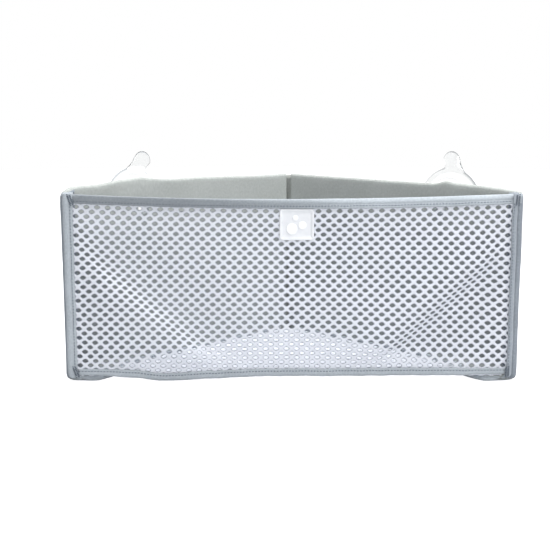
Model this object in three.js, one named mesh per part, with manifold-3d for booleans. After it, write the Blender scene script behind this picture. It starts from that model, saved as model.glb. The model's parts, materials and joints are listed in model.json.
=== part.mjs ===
// Corner organizer for bath toys: two stiffened fabric walls meet at the back, a net front and
// a sagging net bottom close the bin, bound tape covers the edges, and a clear suction cup hangs
// behind each wall. Millimetres, +Z up, the front faces -Y.
import * as THREE from 'three';
import { mergeVertices } from 'three/addons/utils/BufferGeometryUtils.js';
import Module from 'manifold-3d';

const wasm = await Module();
wasm.setup();

// Overall size
const frontWidth = 382; // across the outer ends of the two walls
const wallHeight = 160; // floor to the top edge of the walls
const cornerAngle = THREE.MathUtils.degToRad(90); // between the two walls

// Clearances
const fit = 0.3; // between pieces that are sewn or laid together
const swivelPlay = 0.5; // between a suction cup's neck and the eyelet that it turns in
const cutOverrun = 5; // how far a cut runs past the solid that it cuts

// Walls: a fabric sleeve over a stiff board
const leafThickness = 0.8; // one layer of the sleeve
const boardThickness = 2.2;
const cornerSetback = 7.5; // from the sharp outer corner to the end of each wall
const cupBump = 4; // how far the top edge rises above the suction cup
const cupBumpReach = 34; // half length of that rise
const boardHoleMargin = 0.5; // how much wider the board's hole is than the sleeve's

// Binding tape
const tapeThickness = 0.7;
const topBindingHeight = 8;
const sideBindingWidth = 8.5;
const sideBindingInset = 2; // the wall's end shows this far outside the side binding
const sideBindingFoot = 2; // the side binding's lower end above the floor
const frontHemHeight = 7;
const wallHemHeight = 8;
const wallHemSetback = 4; // from the wall's rounded end to the end of its hem

// Front net
const frontNetThickness = 1;
const topSag = 4.5; // how far the top edge of the front hangs below its corners
const topDrop = 0.5; // the front's top corners below the walls' top edge
const hemLift = 3; // the front's lower edge above the floor, at the middle
const hemCornerLift = 2; // how much higher that edge is at its ends

// Bottom net
const bottomNetThickness = 0.9;
const bottomNetHeight = 5; // its edge above the floor
const bottomNetSag = 3.5;
const bottomCornerTrim = 10; // cut off each front corner of the triangle
const bottomTipTrim = 5; // cut off the tip at the back corner

// Gaps of both nets, coarser than the knitted holes of the real mesh
const gapPitchAcross = 22;
const gapRowPitch = 10.3;
const gapWidth = 14.5;
const gapHeight = 13;
const netMargin = 3; // least strand beside a net's binding

// Strip of fabric that hinges the walls
const webFlangeReach = 8.5; // how far it is sewn along each wall
const webFoot = 1; // its lower end above the floor
const webTopDrop = 1.5; // its upper end below the walls' top edge

// Eyelets
const neckRadius = 4.5;
const eyeletWall = 0.8;
const eyeletFlangeRadius = 9.5;
const eyeletFlangeThickness = 0.9;
const eyeletEndLip = 0.3; // the barrel's end past its washer

// Suction cups
const cupSetback = 79.2; // centre behind the middle of the wall's rounded end
const cupDrop = 18; // centre below the walls' top edge
const cupStandoff = 11.5; // rim plane to the wall's outer face
const rimRadius = 34;
const rimLand = 4; // width of the flat ring that meets the room's wall
const rimThickness = 1.6;
const hollowDepth = 4.2;
const domeHeight = 8.4;
const shoulderRadius = 7;
const shoulderHeight = 9.4;
const headRadius = 8.6;
const headHeight = 4;
const tabLength = 15.4; // from the rim to the tip
const tabHalfWidth = 9;
const tabRootHalfWidth = 12;
const tabThickness = 1.6;
const tabLift = 0.4; // off the rim plane at the root
const tabLean = 7.5; // how far the tip leans towards the fabric

// Label that hangs on the front
const labelWidth = 28.5;
const labelHeight = 26;
const labelCentre = 4; // to the right of the middle
const labelThickness = 0.7;
const labelCorner = 2;

// Outlines, as shares of the sizes that they follow
const hollowShares = [[0, 1], [0.4, 0.91], [0.68, 0.66], [0.88, 0.3], [1, 0]];
const domeShares = [[1, 0], [0.86, 0.16], [0.64, 0.46], [0.4, 0.76], [0.24, 1]];
const headShares = [[0.92, 0], [1, 0.25], [0.9, 0.62], [0.55, 0.92], [0, 1]];
const tabWaistShare = 0.45; // where along the tab its flared root ends
const tabLeanPower = 1.4;

// Three equal lengths have this product with the cube of their sum
const evenProductShare = 1 / 27;

// Facet counts
const edgeSteps = 12;
const bumpSteps = 10;
const roundSides = 24;
const cupSides = 48;
const arcSteps = 6;

// Places worked out from the sizes above
const halfCorner = cornerAngle / 2;
const wallThickness = boardThickness + 2 * (leafThickness + fit);
const bindingFront = -(fit + tapeThickness);
const bindingBack = frontNetThickness + fit + tapeThickness;
const endRadius = wallThickness / 2;
const endCentreX = frontWidth / 2 - endRadius;
const endCentreY = bindingBack + fit + endRadius;
const cornerY = endCentreY + endCentreX / Math.tan(halfCorner) + endRadius / Math.sin(halfCorner);
const wallEnd = endCentreX * Math.sin(halfCorner) + (cornerY - endCentreY) * Math.cos(halfCorner);
const wallFoot = tapeThickness + fit;
const cupStation = wallEnd - cupSetback; // along the wall, from the sharp outer corner
const cupHeight = wallHeight - cupDrop;
const sideOuter = frontWidth / 2 - sideBindingInset;
const sideInner = sideOuter - sideBindingWidth;
const boreRadius = neckRadius + swivelPlay;
const barrelRadius = boreRadius + eyeletWall;
const sleeveHoleRadius = barrelRadius + fit;
const hemInside = wallThickness + fit + tapeThickness;

// Solids and meshes

function dropFlatTriangles(index) {
  const kept = [];
  for (let i = 0; i < index.length; i += 3) {
    const [a, b, c] = [index[i], index[i + 1], index[i + 2]];
    if (a !== b && b !== c && c !== a) kept.push(a, b, c);
  }
  return Uint32Array.from(kept);
}

function toSolid(geometry) {
  const bare = geometry.clone();
  bare.deleteAttribute('normal');
  bare.deleteAttribute('uv');
  const merged = mergeVertices(bare);
  return new wasm.Manifold(new wasm.Mesh({
    numProp: 3,
    vertProperties: Float32Array.from(merged.attributes.position.array),
    triVerts: dropFlatTriangles(merged.index.array),
  }));
}

function toGeometry(solid) {
  const mesh = solid.getMesh();
  const geometry = new THREE.BufferGeometry();
  geometry.setAttribute('position', new THREE.BufferAttribute(mesh.vertProperties, 3));
  geometry.setIndex(new THREE.BufferAttribute(mesh.triVerts, 1));
  return geometry;
}

// The same solid seen in a mirror that stands on the wall's own face
function mirrored(geometry) {
  const merged = toGeometry(toSolid(geometry));
  merged.scale(1, -1, 1);
  const index = merged.index.array;
  for (let i = 0; i < index.length; i += 3) {
    [index[i], index[i + 1]] = [index[i + 1], index[i]];
  }
  return merged;
}

function outline(points) {
  return new THREE.Shape(points.map(([x, y]) => new THREE.Vector2(x, y)));
}

// A shape drawn in plan, standing from one height to another
function stand(shape, low, high) {
  const geometry = new THREE.ExtrudeGeometry(shape, {
    depth: high - low, bevelEnabled: false, curveSegments: arcSteps,
  });
  return geometry.translate(0, 0, low);
}

// A shape drawn in elevation, running through from one depth to another
function across(shape, near, far) {
  const geometry = new THREE.ExtrudeGeometry(shape, {
    depth: far - near, bevelEnabled: false, curveSegments: arcSteps,
  });
  return geometry.rotateX(Math.PI / 2).translate(0, far, 0);
}

function cut(geometry, ...tools) {
  const solid = tools.reduce((left, tool) => left.subtract(toSolid(tool)), toSolid(geometry));
  return toGeometry(solid);
}

function steps(from, to, count) {
  return Array.from({ length: count + 1 }, (_, i) => from + ((to - from) * i) / count);
}

// Walls, drawn along the wall (x) from the sharp outer corner, through it (y) and up (z)

function wallTop(along) {
  const share = Math.min(Math.abs(along - cupStation) / cupBumpReach, 1);
  return wallHeight + cupBump * Math.cos((Math.PI / 2) * share) ** 2;
}

// Plan of the wall or of a layer of it that lies this far inside its outer surface
function wallPlan(inset) {
  const radius = endRadius - inset;
  const shape = new THREE.Shape();
  shape.moveTo(cornerSetback + inset, inset);
  shape.lineTo(wallEnd, inset);
  shape.absarc(wallEnd, endRadius, radius, -Math.PI / 2, Math.PI / 2, false);
  shape.lineTo(cornerSetback + inset, wallThickness - inset);
  shape.closePath();
  return shape;
}

function wallElevation(low, inset) {
  const start = cupStation - cupBumpReach;
  const end = cupStation + cupBumpReach;
  const top = steps(start, end, bumpSteps).map((along) => [along, wallTop(along) - inset]);
  return outline([
    [-cutOverrun, low],
    [wallEnd + cutOverrun, low],
    [wallEnd + cutOverrun, wallHeight - inset],
    ...top.reverse(),
    [-cutOverrun, wallHeight - inset],
  ]);
}

function wallLayer(low, inset) {
  const plan = toSolid(stand(wallPlan(inset), low, wallHeight + cupBump));
  const elevation = toSolid(across(wallElevation(low, inset), -cutOverrun, wallThickness + cutOverrun));
  return toGeometry(plan.intersect(elevation));
}

function wallHole(radius) {
  const length = wallThickness + 2 * cutOverrun;
  const hole = new THREE.CylinderGeometry(radius, radius, length, roundSides);
  return hole.translate(cupStation, wallThickness / 2, cupHeight);
}

function wallCover() {
  const hollow = wallLayer(wallFoot - cutOverrun, leafThickness);
  return cut(wallLayer(wallFoot, 0), hollow, wallHole(sleeveHoleRadius));
}

function stiffenerBoard() {
  const board = wallLayer(wallFoot + fit, leafThickness + fit);
  return cut(board, wallHole(sleeveHoleRadius + boardHoleMargin));
}

function wallHem() {
  const start = cornerSetback + webFlangeReach + fit;
  const end = wallEnd - wallHemSetback;
  const block = outline([[start, bindingFront], [end, bindingFront], [end, hemInside], [start, hemInside]]);
  const slot = outline([
    [start - cutOverrun, -fit],
    [end + cutOverrun, -fit],
    [end + cutOverrun, wallThickness + fit],
    [start - cutOverrun, wallThickness + fit],
  ]);
  return cut(stand(block, 0, wallHemHeight), stand(slot, tapeThickness, wallHemHeight + cutOverrun));
}

// Turned pieces, with their axis through the wall at the suction cup

function turned(profile, sides) {
  const points = profile.map(([radius, through]) => new THREE.Vector2(radius, through));
  return new THREE.LatheGeometry(points, sides).translate(cupStation, 0, cupHeight);
}

function eyelet() {
  const seat = wallThickness + fit;
  const end = -(fit + eyeletFlangeThickness + eyeletEndLip);
  return turned([
    [boreRadius, end],
    [barrelRadius, end],
    [barrelRadius, seat],
    [eyeletFlangeRadius, seat],
    [eyeletFlangeRadius, seat + eyeletFlangeThickness],
    [boreRadius, seat + eyeletFlangeThickness],
    [boreRadius, end],
  ], roundSides);
}

function eyeletWasher() {
  const outside = -(fit + eyeletFlangeThickness);
  return turned([
    [barrelRadius + fit, outside],
    [eyeletFlangeRadius, outside],
    [eyeletFlangeRadius, -fit],
    [barrelRadius + fit, -fit],
    [barrelRadius + fit, outside],
  ], roundSides);
}

function cupBody() {
  const rimInner = rimRadius - rimLand;
  const seat = cupStandoff + wallThickness + fit + eyeletFlangeThickness + swivelPlay;
  const profile = [
    ...hollowShares.map(([r, h]) => [r * rimInner, h * hollowDepth]),
    [rimRadius, 0],
    ...domeShares.map(([r, h]) => [r * rimRadius, rimThickness + h * (domeHeight - rimThickness)]),
    [shoulderRadius, shoulderHeight],
    [neckRadius, shoulderHeight],
    [neckRadius, seat],
    ...headShares.map(([r, h]) => [r * headRadius, seat + h * headHeight]),
  ];
  return turned(profile, cupSides);
}

function tabShape() {
  const waist = rimRadius + tabLength * tabWaistShare;
  const tipCentre = rimRadius + tabLength - tabHalfWidth;
  const root = rimRadius - rimLand;
  const shape = new THREE.Shape();
  shape.moveTo(-tabRootHalfWidth, root);
  shape.lineTo(tabRootHalfWidth, root);
  shape.quadraticCurveTo(tabHalfWidth, rimRadius, tabHalfWidth, Math.min(waist, tipCentre));
  shape.absarc(0, tipCentre, tabHalfWidth, 0, Math.PI, false);
  shape.quadraticCurveTo(-tabHalfWidth, rimRadius, -tabRootHalfWidth, root);
  return shape;
}

// The tab leaves the rim flat and curls towards the fabric
function pullTab() {
  const tab = across(tabShape(), tabLift, tabLift + tabThickness);
  const places = tab.attributes.position;
  for (let i = 0; i < places.count; i += 1) {
    const share = Math.max(0, (places.getZ(i) - rimRadius) / tabLength);
    places.setY(i, places.getY(i) + tabLean * share ** tabLeanPower);
  }
  return tab.translate(cupStation, 0, cupHeight);
}

function suctionCup() {
  const cup = toSolid(cupBody()).add(toSolid(pullTab()));
  return toGeometry(cup).translate(0, -cupStandoff, 0);
}

// Front, drawn across (x), through (y) and up (z)

function frontTop(x) {
  return wallHeight - topDrop - topSag * (1 - (x / sideOuter) ** 2);
}

function frontFoot(x) {
  return hemLift + hemCornerLift * (x / sideOuter) ** 2;
}

// A band between two curves, each given by its height at x
function band(reach, lower, upper) {
  const forth = steps(-reach, reach, edgeSteps).map((x) => [x, lower(x)]);
  const back = steps(reach, -reach, edgeSteps).map((x) => [x, upper(x)]);
  return outline([...forth, ...back]);
}

function topBinding() {
  const low = (x) => frontTop(x) - topBindingHeight;
  const under = (x) => low(x) - cutOverrun;
  const slotTop = (x) => frontTop(x) - tapeThickness;
  const reach = sideOuter + cutOverrun;
  return cut(
    across(band(sideOuter, low, frontTop), bindingFront, bindingBack),
    across(band(reach, under, slotTop), -fit, frontNetThickness + fit),
  );
}

function frontHem() {
  const high = (x) => frontFoot(x) + frontHemHeight;
  const over = (x) => high(x) + cutOverrun;
  const slotFoot = (x) => frontFoot(x) + tapeThickness;
  const reach = sideInner - fit;
  return cut(
    across(band(reach, frontFoot, high), bindingFront, bindingBack),
    across(band(reach + cutOverrun, slotFoot, over), -fit, frontNetThickness + fit),
  );
}

function sideBinding(side) {
  const top = frontTop(sideInner) - topBindingHeight - fit;
  const bar = (inner, outer, low, high) => outline([
    [side * inner, low], [side * outer, low], [side * outer, high], [side * inner, high],
  ]);
  const block = bar(sideInner, sideOuter, sideBindingFoot, top);
  const slot = bar(
    sideInner - cutOverrun, sideOuter - tapeThickness, sideBindingFoot - cutOverrun, top + cutOverrun,
  );
  return cut(across(block, bindingFront, bindingBack), across(slot, -fit, frontNetThickness + fit));
}

// Centres of the staggered gaps over a rectangle, counted from its middle
function gapCentres(halfAcross, low, high) {
  const centres = [];
  const rows = Math.floor((high - low) / gapRowPitch / 2);
  const columns = Math.ceil(halfAcross / gapPitchAcross);
  for (let row = -rows; row <= rows; row += 1) {
    const shift = row % 2 === 0 ? 0 : gapPitchAcross / 2;
    for (let column = -columns; column <= columns; column += 1) {
      centres.push([column * gapPitchAcross + shift, (low + high) / 2 + row * gapRowPitch]);
    }
  }
  return centres;
}

// Four-sided gaps that lie wholly where the net shows
function addGaps(shape, centres, shows) {
  for (const [x, y] of centres) {
    const corners = [
      [x - gapWidth / 2, y], [x, y - gapHeight / 2], [x + gapWidth / 2, y], [x, y + gapHeight / 2],
    ];
    if (corners.every(([cornerX, cornerY]) => shows(cornerX, cornerY))) {
      shape.holes.push(new THREE.Path(corners.map(([px, py]) => new THREE.Vector2(px, py))));
    }
  }
  return shape;
}

function frontNet() {
  const reach = sideOuter - tapeThickness - fit;
  const foot = (x) => frontFoot(x) + tapeThickness + fit;
  const top = (x) => frontTop(x) - tapeThickness - fit;
  const shows = (x, z) => Math.abs(x) < sideInner - netMargin
    && z > frontFoot(x) + frontHemHeight + netMargin
    && z < frontTop(x) - topBindingHeight - netMargin;
  const centres = gapCentres(sideInner, frontHemHeight, wallHeight - topBindingHeight);
  const shape = addGaps(band(reach, foot, top), centres, shows);
  return across(shape, 0, frontNetThickness);
}

// How far a point in plan lies inside the outer face of the wall on its side
function insideWall(x, y) {
  return (cornerY - y) * Math.sin(halfCorner) - Math.abs(x) * Math.cos(halfCorner);
}

function bottomOutline() {
  const inset = hemInside + fit;
  const front = bindingBack + fit;
  const tip = cornerY - inset / Math.sin(halfCorner) - bottomTipTrim;
  const halfAt = (y) => ((cornerY - y) * Math.sin(halfCorner) - inset) / Math.cos(halfCorner);
  const corner = halfAt(front) - bottomCornerTrim;
  const cornerRise = front + bottomCornerTrim * Math.tan(Math.PI / 2 - halfCorner);
  return outline([
    [-corner, front], [corner, front], [corner, cornerRise],
    [halfAt(tip), tip], [-halfAt(tip), tip], [-corner, cornerRise],
  ]);
}

// The bottom hangs lowest in the middle and is held up at its three edges
function sagShare(x, y) {
  const front = Math.max(0, y - bindingBack - fit);
  const back = cornerY - y;
  const left = Math.max(0, back * Math.sin(halfCorner) + x * Math.cos(halfCorner) - hemInside - fit);
  const right = Math.max(0, back * Math.sin(halfCorner) - x * Math.cos(halfCorner) - hemInside - fit);
  return (front * left * right) / (front + left + right) ** 3 / evenProductShare;
}

function bottomNet() {
  const margin = hemInside + fit + netMargin;
  const shows = (x, y) => y > bindingBack + fit + netMargin
    && insideWall(x, y) > margin
    && Math.abs(x) < endCentreX - bottomCornerTrim - margin
    && y < cornerY - (margin + bottomTipTrim) / Math.sin(halfCorner);
  const centres = gapCentres(sideInner, 0, cornerY);
  const shape = addGaps(bottomOutline(), centres, shows);
  const net = stand(shape, bottomNetHeight, bottomNetHeight + bottomNetThickness);
  const places = net.attributes.position;
  for (let i = 0; i < places.count; i += 1) {
    const drop = bottomNetSag * sagShare(places.getX(i), places.getY(i));
    places.setZ(i, places.getZ(i) - drop);
  }
  return net;
}

function label() {
  const left = labelCentre - labelWidth / 2;
  const right = labelCentre + labelWidth / 2;
  const top = frontTop(0) - topBindingHeight - fit;
  const low = top - labelHeight;
  const shape = new THREE.Shape();
  shape.moveTo(left, top);
  shape.lineTo(left, low + labelCorner);
  shape.absarc(left + labelCorner, low + labelCorner, labelCorner, Math.PI, 1.5 * Math.PI, false);
  shape.absarc(right - labelCorner, low + labelCorner, labelCorner, 1.5 * Math.PI, 2 * Math.PI, false);
  shape.lineTo(right, top);
  shape.closePath();
  return across(shape, -fit - labelThickness, -fit);
}

// Plan points of one half of the strip that hinges the walls, from its flange to its fold
function webHalf(offset) {
  const place = (along, through) => [
    -along * Math.sin(halfCorner) + through * Math.cos(halfCorner),
    cornerY - along * Math.cos(halfCorner) - through * Math.sin(halfCorner),
  ];
  const turn = cornerSetback - fit - offset;
  const foldY = place(cornerSetback - fit, wallThickness)[1] + offset;
  const fold = (cornerY - foldY - turn * Math.cos(halfCorner)) / Math.sin(halfCorner);
  return [
    place(cornerSetback + webFlangeReach, -fit - offset),
    place(turn, -fit - offset),
    place(turn, fold),
  ];
}

function cornerWeb() {
  const other = ([x, y]) => [-x, y];
  const near = webHalf(0);
  const far = webHalf(tapeThickness);
  const plan = outline([
    ...near,
    ...near.map(other).reverse(),
    ...far.map(other),
    ...far.slice().reverse(),
  ]);
  return stand(plan, webFoot, wallHeight - webTopDrop);
}

// Materials
const finish = (color, roughness, extra) => (
  new THREE.MeshStandardMaterial({ color, roughness, metalness: 0, ...extra })
);
const wallFabric = finish(0xa9aead, 0.9);
const boardPlastic = finish(0xd8d8d4, 0.6);
const tape = finish(0xa2adb7, 0.85);
const netFabric = finish(0xeceff5, 0.8);
const eyeletPlastic = finish(0x9aa1a3, 0.45);
const clearVinyl = finish(0xf4f7f8, 0.12, { transparent: true, opacity: 0.35 });
const labelRubber = finish(0xe6e7eb, 0.5);

function add(group, name, geometry, material) {
  const mesh = new THREE.Mesh(geometry, material);
  mesh.name = name;
  group.add(mesh);
}

function wallGroup(side) {
  const shaped = side.mirror ? mirrored : (geometry) => geometry;
  const wall = new THREE.Group();
  wall.position.set(0, cornerY, 0);
  wall.rotation.z = side.turn;
  add(wall, `${side.name}_wall_cover`, shaped(wallCover()), wallFabric);
  add(wall, `${side.name}_stiffener_board`, shaped(stiffenerBoard()), boardPlastic);
  add(wall, `${side.name}_bottom_binding`, shaped(wallHem()), tape);
  add(wall, `${side.name}_eyelet`, shaped(eyelet()), eyeletPlastic);
  add(wall, `${side.name}_eyelet_washer`, shaped(eyeletWasher()), eyeletPlastic);
  add(wall, `${side.name}_suction_cup`, shaped(suctionCup()), clearVinyl);
  return wall;
}

function frontGroup() {
  const front = new THREE.Group();
  add(front, 'front_mesh', frontNet(), netFabric);
  add(front, 'top_binding', topBinding(), tape);
  add(front, 'left_side_binding', sideBinding(-1), tape);
  add(front, 'right_side_binding', sideBinding(1), tape);
  add(front, 'front_bottom_binding', frontHem(), tape);
  add(front, 'label', label(), labelRubber);
  return front;
}

const organizer = new THREE.Group();
organizer.add(wallGroup({ name: 'left', turn: -Math.PI / 2 - halfCorner, mirror: false }));
organizer.add(wallGroup({ name: 'right', turn: -Math.PI / 2 + halfCorner, mirror: true }));
organizer.add(frontGroup());
add(organizer, 'bottom_mesh', bottomNet(), netFabric);
add(organizer, 'back_corner_web', cornerWeb(), wallFabric);

// The origin is at the middle of the space that the part takes, on the floor
organizer.updateMatrixWorld(true);
const extent = new THREE.Box3().setFromObject(organizer, true);
organizer.position.y = -(extent.min.y + extent.max.y) / 2;

export default organizer;
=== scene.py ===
# %% [markdown]
# A corner organizer for bath toys
#
# Two stiffened fabric walls meet at the back, a net closes the front and the bottom, bound tape
# covers the edges and a clear suction cup hangs behind each wall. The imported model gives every
# size and place. This lesson dresses it in cloth, thread, net and clear vinyl.

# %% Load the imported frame
import json
import math

import bmesh
import bpy
from mathutils import Matrix, Vector, noise
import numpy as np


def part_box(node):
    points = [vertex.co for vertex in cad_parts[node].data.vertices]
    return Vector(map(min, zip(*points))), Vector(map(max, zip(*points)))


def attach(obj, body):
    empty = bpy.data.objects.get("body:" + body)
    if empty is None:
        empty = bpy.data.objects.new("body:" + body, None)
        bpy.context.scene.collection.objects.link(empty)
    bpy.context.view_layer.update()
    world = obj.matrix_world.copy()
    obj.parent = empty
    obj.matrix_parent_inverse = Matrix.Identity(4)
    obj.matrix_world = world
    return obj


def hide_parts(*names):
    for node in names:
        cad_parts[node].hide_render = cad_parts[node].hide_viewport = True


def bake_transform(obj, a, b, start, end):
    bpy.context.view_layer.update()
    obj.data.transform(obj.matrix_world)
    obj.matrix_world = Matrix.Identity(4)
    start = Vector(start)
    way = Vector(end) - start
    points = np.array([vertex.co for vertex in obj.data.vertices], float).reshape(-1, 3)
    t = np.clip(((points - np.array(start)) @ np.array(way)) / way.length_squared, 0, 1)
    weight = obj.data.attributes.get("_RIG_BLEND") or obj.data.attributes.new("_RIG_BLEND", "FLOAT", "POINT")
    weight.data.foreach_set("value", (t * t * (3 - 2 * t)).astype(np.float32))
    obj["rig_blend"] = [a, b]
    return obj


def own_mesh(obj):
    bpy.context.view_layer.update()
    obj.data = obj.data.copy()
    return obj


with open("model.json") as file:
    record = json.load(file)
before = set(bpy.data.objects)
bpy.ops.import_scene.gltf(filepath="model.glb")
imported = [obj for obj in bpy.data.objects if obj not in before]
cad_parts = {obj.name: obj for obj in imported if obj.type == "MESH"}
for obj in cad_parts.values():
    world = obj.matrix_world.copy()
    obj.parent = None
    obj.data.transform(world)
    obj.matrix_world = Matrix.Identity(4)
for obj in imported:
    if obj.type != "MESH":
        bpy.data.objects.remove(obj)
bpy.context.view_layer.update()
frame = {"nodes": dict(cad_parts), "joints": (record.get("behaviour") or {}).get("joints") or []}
print("nodes in the frame:", len(frame["nodes"]))

# %% [markdown]
# Places that the frame gives
#
# Each wall has its own three directions: along the wall from the sharp outer corner, through it
# from its outer face, and up. Working in these keeps left and right alike, since a side of -1 or
# +1 is all that differs. The corner and the wall's thickness are read from the cover's box.

# %% Measure the walls and the front
MM = 0.001
SLANT = math.sqrt(0.5)
SIDES = (("left", -1), ("right", 1))
WALL_SETBACK = 7.5 * MM  # from the sharp outer corner to the back end of each wall

cover_low, cover_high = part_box("left_wall_cover")
CORNER_Y = cover_high.y + WALL_SETBACK * SLANT
WALL_THICK = WALL_SETBACK + cover_high.x / SLANT
WALL_END = -(cover_low.x + WALL_THICK / 2) / SLANT + WALL_THICK / 2
WALL_FOOT = cover_low.z

net_low, net_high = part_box("front_mesh")
tape_low, tape_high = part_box("top_binding")
hem_low, hem_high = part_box("front_bottom_binding")
FRONT_Y = (net_low.y + net_high.y) / 2
FRONT_HALF = tape_high.x
TAPE_THICK = 0.7 * MM
TOP_SAG = 4.5 * MM
TOP_TAPE = tape_high.z - TOP_SAG - tape_low.z  # height of the tape along the top
HEM_RISE = 2 * MM
HEM_TAPE = 7 * MM

cup_low, cup_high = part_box("left_eyelet")
CUP_HEIGHT = (cup_low.z + cup_high.z) / 2
joint_places = {joint["name"]: Vector(joint["pos_m"]) for joint in frame["joints"]}
HINGE = joint_places["wall_fold"]
cup_axis = joint_places["left_cup_swivel"]
CUP_STATION = (-cup_axis.x / SLANT + (CORNER_Y - cup_axis.y) / SLANT) / 2
WALL_HEIGHT = CUP_HEIGHT + 18 * MM
print("wall thickness %.2f mm, end %.1f mm, cup at %.1f mm along"
      % (WALL_THICK / MM, WALL_END / MM, CUP_STATION / MM))


def wall_point(side, along, through, up):
    across = SLANT * (along - through)
    return Vector((side * across, CORNER_Y - SLANT * (along + through), up))


def front_top(x):
    return tape_high.z - TOP_SAG * (1 - (x / FRONT_HALF) ** 2)


def front_foot(x):
    return hem_low.z + HEM_RISE * (x / FRONT_HALF) ** 2


def on_both_sides(build):
    for side_name, side in SIDES:
        build(side_name, side)

# %% [markdown]
# The camera
#
# The camera comes first, because every later choice of detail depends on what it sees. It stands
# about 0.9 m in front of the net and looks down by not quite ten degrees, with a moderate
# telephoto lens. One pixel is then a little under a millimetre.

# %% Set up the camera
LENS = 68.88  # mm, for a sensor 36 mm wide
CAMERA_PLACE = (-0.0160, -0.9587, 0.2386)
LOOK_DOWN = 9.67  # degrees
LOOK_RIGHT = 0.132

camera = bpy.data.objects.new("camera", bpy.data.cameras.new("camera"))
camera.data.sensor_width = 36
camera.data.lens = LENS
camera.location = CAMERA_PLACE
camera.rotation_euler = (math.radians(90 - LOOK_DOWN), 0, math.radians(-LOOK_RIGHT))
bpy.context.scene.collection.objects.link(camera)
bpy.context.scene.camera = camera
print("camera", tuple(round(value, 4) for value in camera.location))

# %% [markdown]
# Small helpers for cloth
#
# All the cloth here starts flat, as it does on a cutting table. A grid is made to the flat size,
# its flat place is kept as a UV map, so that the weave follows the cloth, and only then is each
# point moved to where the cloth is folded or sewn. A ripple is a slow noise with a height, a
# length and a seed, and gives the cloth its small unevenness.

# %% Start flat cloth and keep its flat place
def keep_flat_place(cloth):
    layer = cloth.loops.layers.uv.new("flat")
    for face in cloth.faces:
        for loop in face.loops:
            loop[layer].uv = loop.vert.co.xy


def flat_cloth(length, width, length_step, width_step):
    cloth = bmesh.new()
    columns = max(2, round(length / length_step))
    rows = max(2, round(width / width_step))
    bmesh.ops.create_grid(cloth, x_segments=columns, y_segments=rows, size=0.5)
    bmesh.ops.translate(cloth, vec=(0.5, 0.5, 0), verts=cloth.verts)
    bmesh.ops.scale(cloth, vec=(length, width, 1), verts=cloth.verts)
    keep_flat_place(cloth)
    return cloth


def cut(shape, place, normal, **options):
    everything = shape.verts[:] + shape.edges[:] + shape.faces[:]
    bmesh.ops.bisect_plane(shape, geom=everything, plane_co=place, plane_no=normal, **options)


def close_cut(cloth, side):
    """A row of points a hair from the middle, so that the two halves meet without a shaded line."""
    cut(cloth, (side * 0.05 * MM, 0, 0), (1, 0, 0))


def move_points(cloth, place):
    for vert in cloth.verts:
        vert.co = place(*vert.co)


def ramp(value, low, high):
    share = min(max((value - low) / (high - low), 0), 1)
    return share * share * (3 - 2 * share)


def rippled(x, y, ripple, side=0):
    height, length, seed = ripple
    return height * noise.noise(Vector((x / length, y / length, side + seed)))

# %% [markdown]
# A piece is a mesh with its place in its own points, a finish, the body that it moves with and
# the imported node that it stands for. Thin cloth is given its thickness by a Solidify modifier,
# which stays live, so that a fold squeezes the cloth and not its thickness. What hangs between
# the walls gets a mesh of its own.


def make_piece(name, shape, finish, body, stands_for=(), thick=0, inward=False, group=None,
               folds=0):
    mesh = bpy.data.meshes.new(name)
    shape.to_mesh(mesh)
    shape.free()
    mesh.materials.append(finish)
    mesh.shade_smooth()
    piece = bpy.data.objects.new(name, mesh)
    bpy.context.scene.collection.objects.link(piece)
    if group:
        piece.vertex_groups.new(name=group)
    if thick:
        walls = piece.modifiers.new("thickness", "SOLIDIFY")
        walls.thickness = thick
        walls.offset = -1 if inward else 0
        if group:
            walls.vertex_group = group
            walls.thickness_vertex_group = 0.05
    if body:
        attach(piece, body)
    if stands_for:
        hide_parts(*stands_for)
    if folds:
        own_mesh(piece)
    print(name, len(mesh.polygons), "faces")
    return piece

# %% [markdown]
# Finishes
#
# Every finish is a Principled shader fed by nodes. Colours are written as they look on a screen
# and turned into the linear values that Blender works with. The cloth finishes read the flat
# place of the cloth, so that threads turn with a fold, and the rest read Object coordinates. A
# small class adds the nodes, so that each finish below reads like a recipe.

# %% Helpers for finishes
WHITE = (255, 255, 255)


def paint(red, green, blue):
    def linear(value):
        share = value / 255
        return share / 12.92 if share <= 0.04045 else ((share + 0.055) / 1.055) ** 2.4
    return (linear(red), linear(green), linear(blue), 1)


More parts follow.
